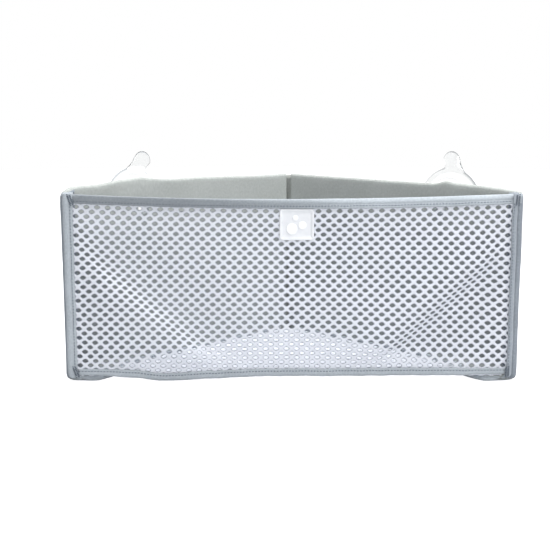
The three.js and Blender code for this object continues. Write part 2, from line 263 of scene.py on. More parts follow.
class Graph:
    """The nodes of a material or a world. An input is fed a value or another node's output."""

    def __init__(self, owner):
        owner.use_nodes = True
        self.nodes = owner.node_tree.nodes
        self.links = owner.node_tree.links

    def feed(self, socket, value):
        if isinstance(value, bpy.types.NodeSocket):
            self.links.new(value, socket)
        else:
            socket.default_value = value

    def add(self, kind, **inputs):
        node = self.nodes.new("ShaderNode" + kind)
        for name, value in inputs.items():
            self.feed(node.inputs[name.replace("_", " ")], value)
        return node

    def object_place(self):
        return self.add("TexCoord").outputs["Object"]

    def flat_place(self, turn=0.0):
        source = self.add("UVMap")
        source.uv_map = "flat"
        return self.add("Mapping", Vector=source.outputs["UV"], Rotation=(0, 0, turn)).outputs[0]

    def kept(self, name):
        """What is kept with each point of the mesh under a name."""
        attribute = self.add("Attribute")
        attribute.attribute_name = name
        return attribute.outputs["Fac"]

    def grain(self, place, scale, detail=3.0):
        return self.add("TexNoise", Vector=place, Scale=scale, Detail=detail).outputs["Fac"]

    def threads(self, place, direction, pitch, warp=0.6):
        texture = self.add("TexWave", Vector=place, Scale=math.pi / (10 * pitch), Distortion=warp,
                           Detail=1)
        texture.wave_type = "BANDS"
        texture.bands_direction = direction
        return texture.outputs["Fac"]

    def combine(self, how, *values):
        node = self.add("Math")
        node.operation = how
        for socket, value in zip(node.inputs, values):
            self.feed(socket, value)
        return node.outputs[0]

    def gauge(self, place, axis, ends):
        """0 to 1 between two places along an axis."""
        along = self.add("SeparateXYZ", Vector=place).outputs[axis]
        return self.add("MapRange", Value=along, From_Min=ends[0], From_Max=ends[1]).outputs[0]

    def shades(self, share, colours, ends=(0.3, 0.7)):
        ramp_node = self.add("ValToRGB", Fac=share)
        for stop, place, colour in zip(ramp_node.color_ramp.elements, ends, colours):
            stop.position = place
            stop.color = paint(*colour)
        return ramp_node.outputs["Color"]

    def darken(self, colour, share, dark):
        """Multiply a colour by the dark one where the share is 0, and leave it where it is 1."""
        tint = self.add("Mix")
        tint.data_type = "RGBA"
        tint.blend_type = "MULTIPLY"
        tint.inputs["Factor"].default_value = 1
        self.feed(tint.inputs["A"], colour)
        self.feed(tint.inputs["B"], self.shades(share, (dark, WHITE), (0, 1)))
        return tint.outputs["Result"]

    def join(self, kind, first, second, **inputs):
        both = self.add(kind, **inputs)
        for socket, node in zip(list(both.inputs)[-2:], (first, second)):
            self.feed(socket, node.outputs[0])
        return both.outputs[0]

    def seen_directly(self):
        """1 where the camera, a gloss or a clear piece looks, and 0 for the light on cloth."""
        path = self.add("LightPath")
        camera_ray, gloss_ray, clear_ray = (
            path.outputs[f"Is {kind} Ray"] for kind in ("Camera", "Glossy", "Transmission"))
        return self.combine("MAXIMUM", self.combine("MAXIMUM", camera_ray, gloss_ray), clear_ray)


class Finish(Graph):
    def __init__(self, name, roughness):
        self.material = bpy.data.materials.new(name)
        super().__init__(self.material)
        self.shader = self.nodes["Principled BSDF"]
        self.shader.inputs["Roughness"].default_value = roughness

    def colour(self, value):
        self.feed(self.shader.inputs["Base Color"], value)

    def raise_surface(self, height, distance):
        bump = self.add("Bump", Height=height, Distance=distance, Strength=1.0)
        self.feed(self.shader.inputs["Normal"], bump.outputs["Normal"])

    def show(self, surface):
        self.feed(self.nodes["Material Output"].inputs["Surface"], surface)

# %% [markdown]
# The walls are covered in a plain woven polyester. Two sets of threads cross at right angles and
# the higher one shows at each place, which the larger of two waves gives. A slow noise makes
# some threads a little darker, the slubs that are seen in real cloth. Two changes of shade copy
# the photographed light: the cloth inside the bin is darker below the rim, and the tape along
# the top is darker on its left half, which leans its face down.

# %% Woven wall fabric and binding tape
WALL_CLOTH = dict(pitch=0.55 * MM, roughness=0.85, sheen=0.15, depth=0.12 * MM)
TAPE_CLOTH = dict(pitch=0.45 * MM, roughness=0.75, sheen=0.2, depth=0.1 * MM,
                  turn=math.radians(45))
INNER_FACE = (2.4 * WALL_HEIGHT, 2.6 * WALL_HEIGHT)  # between the outer face's cloth and the inner's
SHADED = (112 * MM, 138 * MM)  # heights between which the shade inside the bin ends
# painted shade: the top tape darkens towards its left half between these places across
TOP_TAPE_LEFT_SHADE = (-90 * MM, 60 * MM)


def woven(name, light, dark, pitch, roughness, sheen, depth, turn=0.0, fade=None, inner=None):
    finish = Finish(name, roughness)
    place = finish.flat_place(turn)
    warp, weft = (finish.threads(place, direction, pitch) for direction in ("X", "Y"))
    mixed = finish.combine("MULTIPLY", finish.combine("MAXIMUM", warp, weft), 0.35)
    for scale, detail, share in ((0.25 / pitch, 4, 0.45), (35, 2, 0.25)):
        cloud = finish.combine("MULTIPLY", finish.grain(place, scale, detail), share)
        mixed = finish.combine("ADD", mixed, cloud)
    colour = finish.shades(mixed, (dark, light), (0.35, 0.78))
    # painted shade, darker towards one end along X
    if fade:
        share = finish.gauge(finish.object_place(), "X", fade)
        colour = finish.darken(colour, share, (212, 212, 212))
    if inner:
        outside = finish.combine("SUBTRACT", 1, finish.gauge(place, "Y", inner))
        high = finish.gauge(finish.object_place(), "Z", SHADED)
        share = finish.combine("MAXIMUM", outside, high)
        colour = finish.darken(colour, share, (216, 218, 221))
    finish.colour(colour)
    finish.shader.inputs["Sheen Weight"].default_value = sheen
    finish.shader.inputs["Sheen Roughness"].default_value = 0.4
    finish.raise_surface(mixed, depth)
    return finish.material


WALL_FABRIC = woven("wall_fabric", (180, 184, 181), (148, 152, 149), inner=INNER_FACE, **WALL_CLOTH)
# painted shade: the walls' end tapes are the binding tape painted darker for the shade beside the net
END_TAPE_PAINTED_SHADE = woven("end_tape", (142, 149, 157), (108, 115, 123), **TAPE_CLOTH)
# painted shade: the hinge strip is the wall's cloth painted darker for the shade in the back corner
HINGE_CLOTH_PAINTED_SHADE = woven("hinge_cloth_painted_shade", (160, 163, 159), (130, 133, 129), **WALL_CLOTH)
TAPE_FABRIC = woven("binding_tape", (180, 187, 193), (140, 147, 154), **TAPE_CLOTH)
# painted shade: the right side tape is the binding tape painted darker for the shade at the right end
SIDE_CLOTH_RIGHT_PAINTED_SHADE = {-1: TAPE_FABRIC,
               1: woven("side_tape", (160, 167, 175), (124, 131, 139), **TAPE_CLOTH)}
TOP_FABRIC = woven("top_tape", (175, 182, 188), (136, 143, 150), fade=TOP_TAPE_LEFT_SHADE, **TAPE_CLOTH)

# %% [markdown]
# The net is a soft white knit. Its strands are modelled, so the finish only adds the fine loops
# of the yarn, a sheen and some light that comes through, as thin white cloth lets it. The rims
# of the holes are in shade on the front net, since the strand is thick beside them, and an
# attribute that each point of a hole's edge carries darkens them. The bottom net is lit from
# above and keeps its rims white.

# %% White net and thread
def knitted(name, rim):
    finish = Finish(name, 0.8)
    place = finish.flat_place(math.radians(28))
    loops = finish.threads(place, "X", 0.62 * MM, 2.5)
    rows = finish.threads(place, "Y", 0.8 * MM, 2.5)
    fuzz = finish.combine("MULTIPLY", finish.grain(place, 900), 0.6)
    mixed = finish.combine("ADD", finish.combine("MULTIPLY", loops, rows), fuzz)
    white = finish.shades(mixed, ((222, 226, 236), (246, 248, 253)), (0.1, 0.75))
    away = finish.combine("SUBTRACT", 1, finish.kept("hole_edge"))
    finish.colour(finish.darken(white, finish.combine("MULTIPLY_ADD", away, 2.5, -0.45), rim))
    finish.shader.inputs["Sheen Weight"].default_value = 0.25
    finish.shader.inputs["Sheen Roughness"].default_value = 0.35
    finish.raise_surface(mixed, 0.18 * MM)
    through = finish.add("BsdfTranslucent", Color=paint(240, 243, 250))
    finish.show(finish.join("MixShader", finish.shader, through, Fac=0.22))
    return finish.material


def twisted_thread(name, light, dark):
    finish = Finish(name, 0.6)
    ply = finish.threads(finish.object_place(), "DIAGONAL", 0.35 * MM, 0.3)
    finish.colour(finish.shades(ply, (dark, light)))
    finish.shader.inputs["Sheen Weight"].default_value = 0.3
    finish.raise_surface(ply, 0.05 * MM)
    return finish.material


NET_FABRIC = knitted("white_net", (98, 103, 116))
BOTTOM_FABRIC = knitted("white_bottom_net", (252, 252, 254))
# the tape thread is dark partly as thread and partly as painted shade for its needle holes
TAPE_THREAD_WITH_HOLE_SHADE = twisted_thread("tape_thread_painted_hole_shade", (90, 100, 111), (66, 76, 87))
TACK_THREAD = twisted_thread("tack_thread", (88, 98, 110), (60, 70, 82))
WALL_THREAD = twisted_thread("wall_thread", (160, 165, 164), (128, 133, 132))

# %% [markdown]
# The moulded pieces are smoother. Rubber and plastic still carry a faint texture from the mould,
# small changes of shade and a roughness that isn't quite even.

# %% Moulded finishes
def moulded(name, light, dark, roughness, scale, depth):
    finish = Finish(name, roughness)
    place = finish.object_place()
    fine = finish.grain(place, scale, 4)
    finish.colour(finish.shades(finish.grain(place, scale / 8, 2), (dark, light)))
    uneven = finish.combine("ADD", finish.combine("MULTIPLY", fine, 0.25), roughness - 0.12)
    finish.feed(finish.shader.inputs["Roughness"], uneven)
    finish.raise_surface(fine, depth)
    return finish.material


LABEL_RUBBER = moulded("label_rubber", (220, 222, 225), (212, 214, 218), 0.55, 1400, 0.03 * MM)
LABEL_RAISED = moulded("label_raised", (238, 239, 241), (232, 233, 236), 0.5, 1200, 0.02 * MM)
EYELET_PLASTIC = moulded("eyelet_plastic", (176, 182, 184), (160, 166, 168), 0.45, 1100, 0.02 * MM)
BOARD_PLASTIC = moulded("board_plastic", (218, 218, 213), (200, 200, 195), 0.6, 600, 0.08 * MM)

# %% [markdown]
# Clear soft vinyl is a glassy body with a faint grey in its thickness. It nearly vanishes before
# a white background, and shows by its edges, which look grey partly because one looks through
# more of it and partly by painted shade: a Layer Weight node darkens the colour there, and so does
# an attribute that holds each point's distance from the cup's outline in millimetres, which is
# kept when the cup is made. The middle, more than 24 mm in, is thick, so it is greyer there and
# its roughness blurs what lies behind.

# %% Clear vinyl
# painted shade greys the edge over this depth from the outline
PAINTED_EDGE_SHADE_DEPTH = 3.2  # mm from the outline over which the edge looks grey
THICKENING = (0.25, -5.9)  # the share of grey rises by the first for each mm, from the second


def clear_vinyl(name):
    finish = Finish(name, 0.06)
    # painted shade: grey at grazing angles and along the outline
    facing = finish.add("LayerWeight", Blend=0.35).outputs["Facing"]
    inset = finish.kept("inset")
    near = finish.combine("SUBTRACT", 1, finish.combine("DIVIDE", inset, PAINTED_EDGE_SHADE_DEPTH))
    edge = finish.combine("MAXIMUM", finish.combine("MULTIPLY", facing, 0.7), near)
    thick = finish.combine("MINIMUM", finish.combine("MULTIPLY_ADD", inset, *THICKENING), 0.58)
    milky = finish.combine("MULTIPLY", finish.combine("MAXIMUM", thick, 0), 0.8)
    finish.feed(finish.shader.inputs["Roughness"], finish.combine("ADD", milky, 0.06))
    edge = finish.combine("MAXIMUM", edge, thick)
    finish.colour(finish.shades(edge, ((249, 250, 250), (150, 154, 157)), (0.4, 1.0)))
    finish.shader.inputs["Transmission Weight"].default_value = 0.96
    finish.shader.inputs["IOR"].default_value = 1.15
    finish.shader.inputs["Specular IOR Level"].default_value = 0.4
    finish.raise_surface(finish.grain(finish.object_place(), 160, 2), 0.03 * MM)
    return finish.material


CLEAR_VINYL = clear_vinyl("clear_vinyl")
print("finishes:", len(bpy.data.materials))

# %% [markdown]
# The walls
#
# Each wall is a sleeve of fabric over a stiff board. It could be two flat sheets, but a real
# sleeve turns over at the top and at both ends, so it starts as a slim block whose bottom is
# open. Its long edges are bevelled round, and planes slice it so that it can ripple. The planes
# are counted from the cup's place, so that the pierced hole falls between them.

# %% Slice and pierce a block
EYELET_HOLE = 6 * MM


def block(size, place, from_corner=False):
    """A block whose middle, or else whose lowest corner, lies at a place."""
    shape = bmesh.new()
    bmesh.ops.create_cube(shape, size=1)
    if from_corner:
        bmesh.ops.translate(shape, vec=(0.5, 0.5, 0.5), verts=shape.verts)
    bmesh.ops.scale(shape, vec=size, verts=shape.verts)
    bmesh.ops.translate(shape, vec=place, verts=shape.verts)
    return shape


def runs_through(edge, thickness):
    return abs(edge.verts[0].co.y - edge.verts[1].co.y) > thickness / 2


def bevel(shape, edges, size, segments):
    bmesh.ops.bevel(shape, geom=edges, offset=size, segments=segments, affect="EDGES",
                    profile=0.5, material=-1)


def slice_evenly(shape, axis, start, end, step, centre):
    normal = Vector((0, 0, 0))
    normal[axis] = 1
    first = math.ceil((start - centre) / step + 0.01)
    last = math.floor((end - centre) / step - 0.01)
    for count in range(first, last + 1):
        place = normal * (centre + (count + 0.5) * step)
        if start < place[axis] < end:
            cut(shape, place, normal)


def pierce(shape, station, height, radius, block_half):
    def inside(face):
        middle = face.calc_center_median()
        near = max(abs(middle.x - station), abs(middle.z - height)) < block_half
        return near and abs(face.normal.y) > 0.9
    hit = [face for face in shape.faces if inside(face)]
    bmesh.ops.delete(shape, geom=hit, context="FACES")
    for vert in shape.verts:
        away = Vector((vert.co.x - station, 0, vert.co.z - height))
        if vert.is_boundary and away.length < 2 * block_half:
            away.length = radius
            vert.co.x, vert.co.z = station + away.x, height + away.z

# %% [markdown]
# No wall of cloth is flat. Four functions say how far a place on a wall strays: its upper edge
# rises and falls by listed heights that follow the photographed outline, the whole wall
# ripples except round the eyelet, its front corners are round, and its foot bunches inwards
# where wall, front and bottom are sewn together. The two sides differ, as they do in the photo.

# %% Where a wall strays from a flat one
TOP_EDGE = {  # millimetres along each wall, and how far its upper edge rises there
    -1: ((0, 1), (40, 1.2), (70, 2.1), (100, 3.2), (127, 4), (150, 3.7), (168, 4.8), (189, 7.4),
         (214, 5.9), (236, 3.5), (250, 3.6), (260, 3.2), (267, 1)),
    1: ((0, 1), (100, 1.3), (150, 1.4), (170, 1.5), (186, 1.9), (195, 4.9), (206, 3),
        (216, 2.8), (228, 2.4), (239, 2), (252, 1.3), (260, 0.7), (267, 0)),
}
BROAD_WAVE = (0.9 * MM, 62 * MM, 2)  # a ripple's height, length and seed
FINE_WAVE = (0.25 * MM, 17 * MM, 6)
WALL_TIP = WALL_END + WALL_THICK / 2
CORNER_ROUND = 7 * MM
TOP_ROUND = 5 * MM
FLARE = {-1: 15.5 * MM, 1: 18 * MM}
FLARE_REACH = {-1: 100 * MM, 1: 112 * MM}
FLARE_PEAK = 18 * MM  # back from the wall's front end


def wall_lift(side, along, up):
    """The rise starts above the eyelet near the cup, and lower down beside it."""
    rise = 0
    for (start, low), (end, high) in zip(TOP_EDGE[side], TOP_EDGE[side][1:]):
        if start <= along / MM < end:
            rise = (low + (high - low) * (along / MM - start) / (end - start)) * MM
    beside_cup = ramp(abs(along - CUP_STATION), 12 * MM, 40 * MM)
    return rise * ramp(up, CUP_HEIGHT + (8 - 35 * beside_cup) * MM, WALL_HEIGHT)


def wall_wave(along, up, side):
    away = ramp(math.hypot(along - CUP_STATION, up - CUP_HEIGHT), 10 * MM, 26 * MM)
    wave = rippled(along, up, BROAD_WAVE, side) + rippled(along, up, FINE_WAVE, side)
    return away * wave * ramp(up, 4 * MM, 20 * MM) * ramp(along, 22 * MM, 46 * MM)


def soft_corner(along, up):
    """Draw the wall's square front corners in to round ones, at the foot and at the top."""
    for level, turn, size in ((0, 1, CORNER_ROUND), (WALL_HEIGHT, -1, TOP_ROUND)):
        out = min(max((along - WALL_TIP) / size + 1, 0), 1)
        near = min(max(1 - abs(up - level) / size, 0), 1)
        along -= out * size * (1 - math.sqrt(1 - near ** 2 / 2))
        up += turn * near * size * (1 - math.sqrt(1 - out ** 2 / 2))
    return along, up


def foot_flare(side, along, through, up):
    back = WALL_END - along
    swell = ramp(back, 0, FLARE_PEAK) * (1 - ramp(back, FLARE_PEAK, FLARE_REACH[side]))
    inner = ramp(through, WALL_THICK / 4, WALL_THICK)
    return FLARE[side] * swell * inner * (1 - ramp(up, 2 * MM, 11 * MM))

# %% [markdown]
# The sleeve ends short of the wall's tip, to leave room for the tape that closes it. The board
# is a block with round corners that follows the sleeve's ripples, so that it stays hidden inside.

# %% Make the sleeves and their boards
SLICE = 4 * MM
SLEEVE_LEAF = 0.8 * MM
END_TAPE_ROOM = 1.8 * MM
BOARD_THICK = 1.8 * MM
BOARD_INSET = (1.5 * MM, 0.9 * MM)  # from the sleeve at the back and at the front end
BOARD_FOOT = WALL_FOOT + 1.2 * MM
BOARD_TOP = WALL_HEIGHT - 1.6 * MM
BOARD_HOLE = EYELET_HOLE + 0.6 * MM


def open_block(start, end, thickness, foot, top):
    shape = block((end - start, thickness, top - foot), (start, 0, foot), from_corner=True)
    below = [face for face in shape.faces if face.normal.z < -0.5]
    bmesh.ops.delete(shape, geom=below, context="FACES")
    long_edges = [edge for edge in shape.edges
                  if edge.is_manifold and not runs_through(edge, thickness)]
    bevel(shape, long_edges, thickness * 0.3, 3)
    return shape


def wall_cover(side_name, side):
    shape = open_block(WALL_SETBACK, WALL_TIP - END_TAPE_ROOM, WALL_THICK, WALL_FOOT, WALL_HEIGHT)
    slice_evenly(shape, 0, WALL_SETBACK, WALL_END, SLICE, CUP_STATION)
    slice_evenly(shape, 2, WALL_FOOT, WALL_HEIGHT - WALL_THICK / 2, SLICE, CUP_HEIGHT)
    pierce(shape, CUP_STATION, CUP_HEIGHT, EYELET_HOLE, 1.5 * SLICE)
    layer = shape.loops.layers.uv.new("flat")
    for face in shape.faces:
        outer = 1 if face.normal.y < 0 else 3
        for loop in face.loops:
            spot = loop.vert.co
            loop[layer].uv = (spot.x, outer * WALL_HEIGHT + spot.z + abs(spot.y))
    for vert in shape.verts:
        along, through, up = vert.co
        rise = wall_lift(side, along, up)
        through += wall_wave(along, up, side) + foot_flare(side, along, through, up)
        along, up = soft_corner(along, up)
        vert.co = wall_point(side, along, through, up + rise)
    bmesh.ops.recalc_face_normals(shape, faces=shape.faces)
    cover = make_piece(f"{side_name}_cover", shape, WALL_FABRIC, f"{side_name}_wall",
                       [f"{side_name}_wall_cover"], SLEEVE_LEAF, inward=True)


def wall_board(side_name, side):
    start, end = WALL_SETBACK + BOARD_INSET[0], WALL_END - BOARD_INSET[1]
    middle = ((start + end) / 2, WALL_THICK / 2, (BOARD_FOOT + BOARD_TOP) / 2)
    board = block((end - start, BOARD_THICK, BOARD_TOP - BOARD_FOOT), middle)
    corners = [edge for edge in board.edges if runs_through(edge, BOARD_THICK)]
    bevel(board, corners, CORNER_ROUND, 5)
    slice_evenly(board, 0, start, end, 2 * SLICE, CUP_STATION)
    slice_evenly(board, 2, BOARD_FOOT, BOARD_TOP, 2 * SLICE, CUP_HEIGHT)
    pierce(board, CUP_STATION, CUP_HEIGHT, BOARD_HOLE, 2 * SLICE)
    for vert in board.verts:
        along, through, up = vert.co
        through += wall_wave(along, up, side)
        vert.co = wall_point(side, along, through, up + wall_lift(side, along, up))
    bmesh.ops.bridge_loops(board, edges=[edge for edge in board.edges if edge.is_boundary])
    bmesh.ops.recalc_face_normals(board, faces=board.faces)
    make_piece(f"{side_name}_board", board, BOARD_PLASTIC, f"{side_name}_wall",
               [f"{side_name}_stiffener_board"])


def wall(side_name, side):
    wall_board(side_name, side)
    wall_cover(side_name, side)


on_both_sides(wall)

# %% [markdown]
# Folded tape
#
# A binding is one strip of tape folded over an edge and sewn through. The strip's width is
# followed as a path: down one leg, round the fold and back along the other leg. A small class
# gives the place on that path for a distance travelled across the strip.

# %% Follow a strip across its fold
class Fold:
    def __init__(self, leg, gap, radius):
        self.leg, self.gap, self.radius = leg, gap, radius
        self.width = 2 * leg + math.pi * radius + gap - 2 * radius

    def path(self, travel):
        """Where the strip is: through the seam, and on from its edge towards the fold."""
        half = self.width / 2
        side = 1 if travel > half else -1
        rest = half - abs(travel - half)
        if rest < self.leg:
            return side * self.gap / 2, rest
        angle = min((rest - self.leg) / self.radius, math.pi / 2)
        beyond = max(rest - self.leg - self.radius * math.pi / 2, 0)
        across = self.gap / 2 - self.radius * (1 - math.cos(angle)) - beyond
        return side * across, self.leg + self.radius * math.sin(angle)


def lay_tape(name, side_name, stands_for, finish, fold, start, end, steps, place,
             folds=0):
    """A folded strip from start to end, whose place(along, travel) is given."""
    tape = flat_cloth(end - start, fold.width, *steps)
    if folds:
        close_cut(tape, 1)
    move_points(tape, lambda x, y, _: place(start + x, y))
    binding = make_piece(name, tape, finish, f"{side_name}_wall", stands_for, TAPE_THICK,
                         folds=folds)

# %% [markdown]
# The tape under each wall is the simplest binding: a straight strip folded up on both sides of
# the sleeve. It wanders by a fraction of a millimetre, as sewn tape does.

# %% Bind the walls' lower edges
WALL_HEM = 8 * MM
WALL_HEM_START = WALL_SETBACK + 8.8 * MM
WALL_HEM_END = WALL_END - 1.5 * MM
WALL_HEM_TURN = 0.9 * MM
WALL_HEM_EDGE = (0.35 * MM, 21 * MM, 5)
WALL_HEM_PUFF = (0.2 * MM, 9 * MM, 7)
SEAM_GAP = WALL_THICK + 2 * 0.3 * MM + TAPE_THICK
WALL_HEM_FOLD = Fold(WALL_HEM - TAPE_THICK / 2 - WALL_HEM_TURN, SEAM_GAP, WALL_HEM_TURN)


def wall_hem_point(side, along, travel):
    through, down = WALL_HEM_FOLD.path(travel)
    edge = rippled(along, through, WALL_HEM_EDGE, side) * ramp(-down, -WALL_HEM_FOLD.leg, 0)
    puff = rippled(along, down, WALL_HEM_PUFF, side)
    outward = math.copysign(1, through) * max(puff, 0)
    through += WALL_THICK / 2 + outward
    through += foot_flare(side, along, through, WALL_HEM - down)
    along, up = soft_corner(along, WALL_HEM - down + edge)
    return wall_point(side, along, through, up)


def wall_hem(side_name, side):
    lay_tape(f"{side_name}_wall_hem", side_name, [f"{side_name}_bottom_binding"], TAPE_FABRIC,
             WALL_HEM_FOLD, WALL_HEM_START, WALL_HEM_END, (3 * MM, 1.1 * MM),
             lambda along, travel: wall_hem_point(side, along, travel))


on_both_sides(wall_hem)

# %% [markdown]
# A second tape runs up the front end of each wall and closes the sleeve there. From the front it
# is the soft roll beside the net. It is the same folded strip, set upright, and it follows the
# wall's ripples and the rise of its upper edge.

# %% Bind the walls' front ends
END_LEG = 8 * MM
END_LOW = 0.9 * MM
END_HIGH = WALL_HEIGHT - 1.2 * MM
END_PUFF = (0.25 * MM, 11 * MM, 17)
END_EDGE = (0.4 * MM, 19 * MM, 13)
END_LOOSE = 0.3 * MM  # how far the legs stand off from the sleeve
END_FOLD = Fold(END_LEG, SEAM_GAP, SEAM_GAP / 2)


def end_tape_point(side, up, travel):
    radius = END_FOLD.radius
    through, reach = END_FOLD.path(travel)
    base = WALL_TIP - TAPE_THICK / 2 - radius - END_LEG
    puff = max(rippled(up, reach, END_PUFF, side), 0)
    edge = rippled(up, through, END_EDGE, side) * ramp(END_LEG - reach, 0, END_LEG)
    along, up = soft_corner(base + reach + puff + edge, up)
    loose = 1 - ramp(reach, END_LEG, END_LEG + radius)
    through += math.copysign(END_LOOSE + puff, through) * loose
    through += WALL_THICK / 2 + wall_wave(along, up, side)
    return wall_point(side, along, through, up + wall_lift(side, along, up))


def end_tape(side_name, side):
    lay_tape(f"{side_name}_end_tape", side_name, (), END_TAPE_PAINTED_SHADE, END_FOLD, END_LOW, END_HIGH,
             (2 * MM, 0.9 * MM), lambda up, travel: end_tape_point(side, up, travel))


on_both_sides(end_tape)

# %% [markdown]
# How the front hangs
#
# The net and the tapes sewn to it share one hanging surface. Two slack folds run down from the
# upper corners towards the middle of the foot, and the lower middle is drawn back a little.
# Each fold is a soft step in depth, and the cloth beside it crowds together.

# %% The hanging front
FOLDS = (
    (Vector((-0.186, 0.122)), Vector((-0.064, 0.016))),
    (Vector((0.170, 0.106)), Vector((0.070, 0.014))),
)
FOLD_WIDTH = 9 * MM
FOLD_STEP = 4.2 * MM
FOLD_CROWD = 3 * MM
FOOT_RECESS = 3.5 * MM
SLACK = (1.6 * MM, 70 * MM, 3.3)
LEAN_RIPPLE = (0.06, 40 * MM, 2.2)


def edge_calm(x, up):
    sides = ramp(FRONT_HALF - abs(x), 6 * MM, 34 * MM)
    top = ramp(front_top(x) - up, 8 * MM, 34 * MM)
    foot = ramp(up - front_foot(x), 5 * MM, 26 * MM)
    return sides * top * foot


def fold_move(x, up):
    calm = edge_calm(x, up)
    across, rise, depth = 0, 0, 0
    for start, end in FOLDS:
        line = end - start
        spot = Vector((x, up)) - start
        share = spot.dot(line) / line.length_squared
        normal = Vector((-line.y, line.x)).normalized()
        away = spot.dot(normal)
        fade = calm * ramp(share, -0.25, 0.15) * (1 - ramp(share, 0.8, 1.25))
        step = math.tanh(away / FOLD_WIDTH) * math.exp(-(away / (5 * FOLD_WIDTH)) ** 2) * fade
        across -= normal.x * step * FOLD_CROWD
        rise -= normal.y * step * FOLD_CROWD
        depth += step * FOLD_STEP
    return across, rise, depth


def upper_lean(x, up):
    """How far the upper edge leans: over towards the viewer on the left, back on the right."""
    lean = 0.1 + 0.62 * ramp(-x, 5 * MM, 90 * MM) - 0.38 * ramp(x, 5 * MM, 50 * MM)
    lean += rippled(x, 0, LEAN_RIPPLE)
    lean *= 0.25 + 0.75 * ramp(FRONT_HALF - abs(x), 4 * MM, 24 * MM)
    above = up - (front_top(x) - TOP_TAPE / 2)
    below = max(-above - TOP_TAPE / 2, 0)
    return lean * max(above, -TOP_TAPE / 2) * (1 - ramp(below, 0, 24 * MM))


def front_place(x, up, forward=0.0):
    """A point of the hanging front: across, up, and forward of the cloth towards the viewer."""
    across, rise, depth = fold_move(x, up)
    forward += upper_lean(x, up)
    slack = rippled(x, up, SLACK) * edge_calm(x, up)
    low = 1 - ramp(up, 0, 0.45 * WALL_HEIGHT)
    recess = FOOT_RECESS * low * ramp(FRONT_HALF - abs(x), 4 * MM, 90 * MM)
    return Vector((x + across, FRONT_Y + depth + slack + recess - forward, up + rise))

# %% [markdown]
# The net
#
# The net's holes form staggered rows, so the cloth can be tiled by one rhombus with an oval hole.
# The cell is made once: a circle is squeezed to the hole, its edges are extruded out to the
# rhombus, and copies of the cell are joined to a field. A vertex group keeps the strands thick in
# the middle and thin at the holes, so they look padded, and the points of each hole's edge carry
# the attribute that the net's finish reads.

# %% One cell of the net, and a field of cells
CELL_ACROSS = 4.35 * MM  # half diagonals of the rhombus
CELL_UP = 4.1 * MM
HOLE_ACROSS = 2.1 * MM  # half axes of the oval hole
HOLE_UP = 1.5 * MM
HOLE_POINTS = 12
NET_THICK = 1.3 * MM
HOLE_EDGE_SHARE = 0.25
STRAND_GROUP = "strand"


def rhombus_point(count):
    quarter, third = divmod(count, HOLE_POINTS // 4)
    corners = ((CELL_ACROSS, 0), (0, CELL_UP), (-CELL_ACROSS, 0), (0, -CELL_UP))
    start = Vector(corners[quarter % 4])
    end = Vector(corners[(quarter + 1) % 4])
    return start.lerp(end, third / (HOLE_POINTS // 4)).to_3d()


def net_cell():
    cell = bmesh.new()
    weight = cell.verts.layers.deform.verify()
    hole_edge = cell.verts.layers.float.new("hole_edge")
    bmesh.ops.create_circle(cell, cap_ends=False, segments=HOLE_POINTS, radius=1)
    bmesh.ops.scale(cell, vec=(HOLE_ACROSS, HOLE_UP, 1), verts=cell.verts)
    grown = bmesh.ops.extrude_edge_only(cell, edges=cell.edges[:])["geom"]
    outer = [item for item in grown if isinstance(item, bmesh.types.BMVert)]
    for vert in outer:
        turn = math.atan2(vert.co.y / HOLE_UP, vert.co.x / HOLE_ACROSS) / math.tau
        vert.co = rhombus_point(round(turn * HOLE_POINTS) % HOLE_POINTS)
    spokes = [edge for edge in cell.edges if len({vert in outer for vert in edge.verts}) == 2]
    bmesh.ops.subdivide_edges(cell, edges=spokes, cuts=1)
    for vert in cell.verts:
        at_hole = abs((vert.co.x / HOLE_ACROSS) ** 2 + (vert.co.y / HOLE_UP) ** 2 - 1) < 0.01
        vert[weight][0] = HOLE_EDGE_SHARE if at_hole else 1
        vert[hole_edge] = 1 if at_hole else 0
    return cell


def repeat(shape, step, copies):
    first = shape.verts[:] + shape.edges[:] + shape.faces[:]
    for count in range(1, copies + 1):
        made = bmesh.ops.duplicate(shape, geom=first)["geom"]
        verts = [item for item in made if isinstance(item, bmesh.types.BMVert)]
        bmesh.ops.translate(shape, vec=step * count, verts=verts)


def net_field(low, high):
    """Cells in staggered rows from one corner to the other, with a strand crossing at the origin."""
    columns = math.ceil((high.x - low.x) / (2 * CELL_ACROSS)) + 2
    rows = math.ceil((high.y - low.y) / (2 * CELL_UP)) + 2
    field = net_cell()
    bmesh.ops.translate(field, vec=(CELL_ACROSS, 0, 0), verts=field.verts)
    repeat(field, Vector((CELL_ACROSS, CELL_UP, 0)), 1)
    repeat(field, Vector((2 * CELL_ACROSS, 0, 0)), columns)
    repeat(field, Vector((0, 2 * CELL_UP, 0)), rows)
    corner = (2 * CELL_ACROSS * (math.floor(low.x / (2 * CELL_ACROSS)) - 1),
              2 * CELL_UP * (math.floor(low.y / (2 * CELL_UP)) - 1), 0)
    bmesh.ops.translate(field, vec=corner, verts=field.verts)
    bmesh.ops.remove_doubles(field, verts=field.verts, dist=0.05 * MM)
    return field


def trim(shape, point, outward):
    cut(shape, point, outward, dist=0.01 * MM, clear_outer=True)

# %% [markdown]
# Each net is cut in two halves at the middle, because each half lies flat on its own wall when
# the organizer is folded for storage. The cut runs through a column of cells and closes when the
# walls stand open.

# %% Trim half a net and hang it
def half_net(side, reach, foot, top):
    """A field of cells trimmed to a rectangle, from the middle out to one side."""
    field = net_field(Vector((min(side * reach, 0), foot)), Vector((max(side * reach, 0), top)))
    for place, outward in (((0, 0, 0), (-side, 0, 0)), ((side * reach, 0, 0), (side, 0, 0)),
                           ((0, foot, 0), (0, -1, 0)), ((0, top, 0), (0, 1, 0))):
        trim(field, place, outward)
    return field


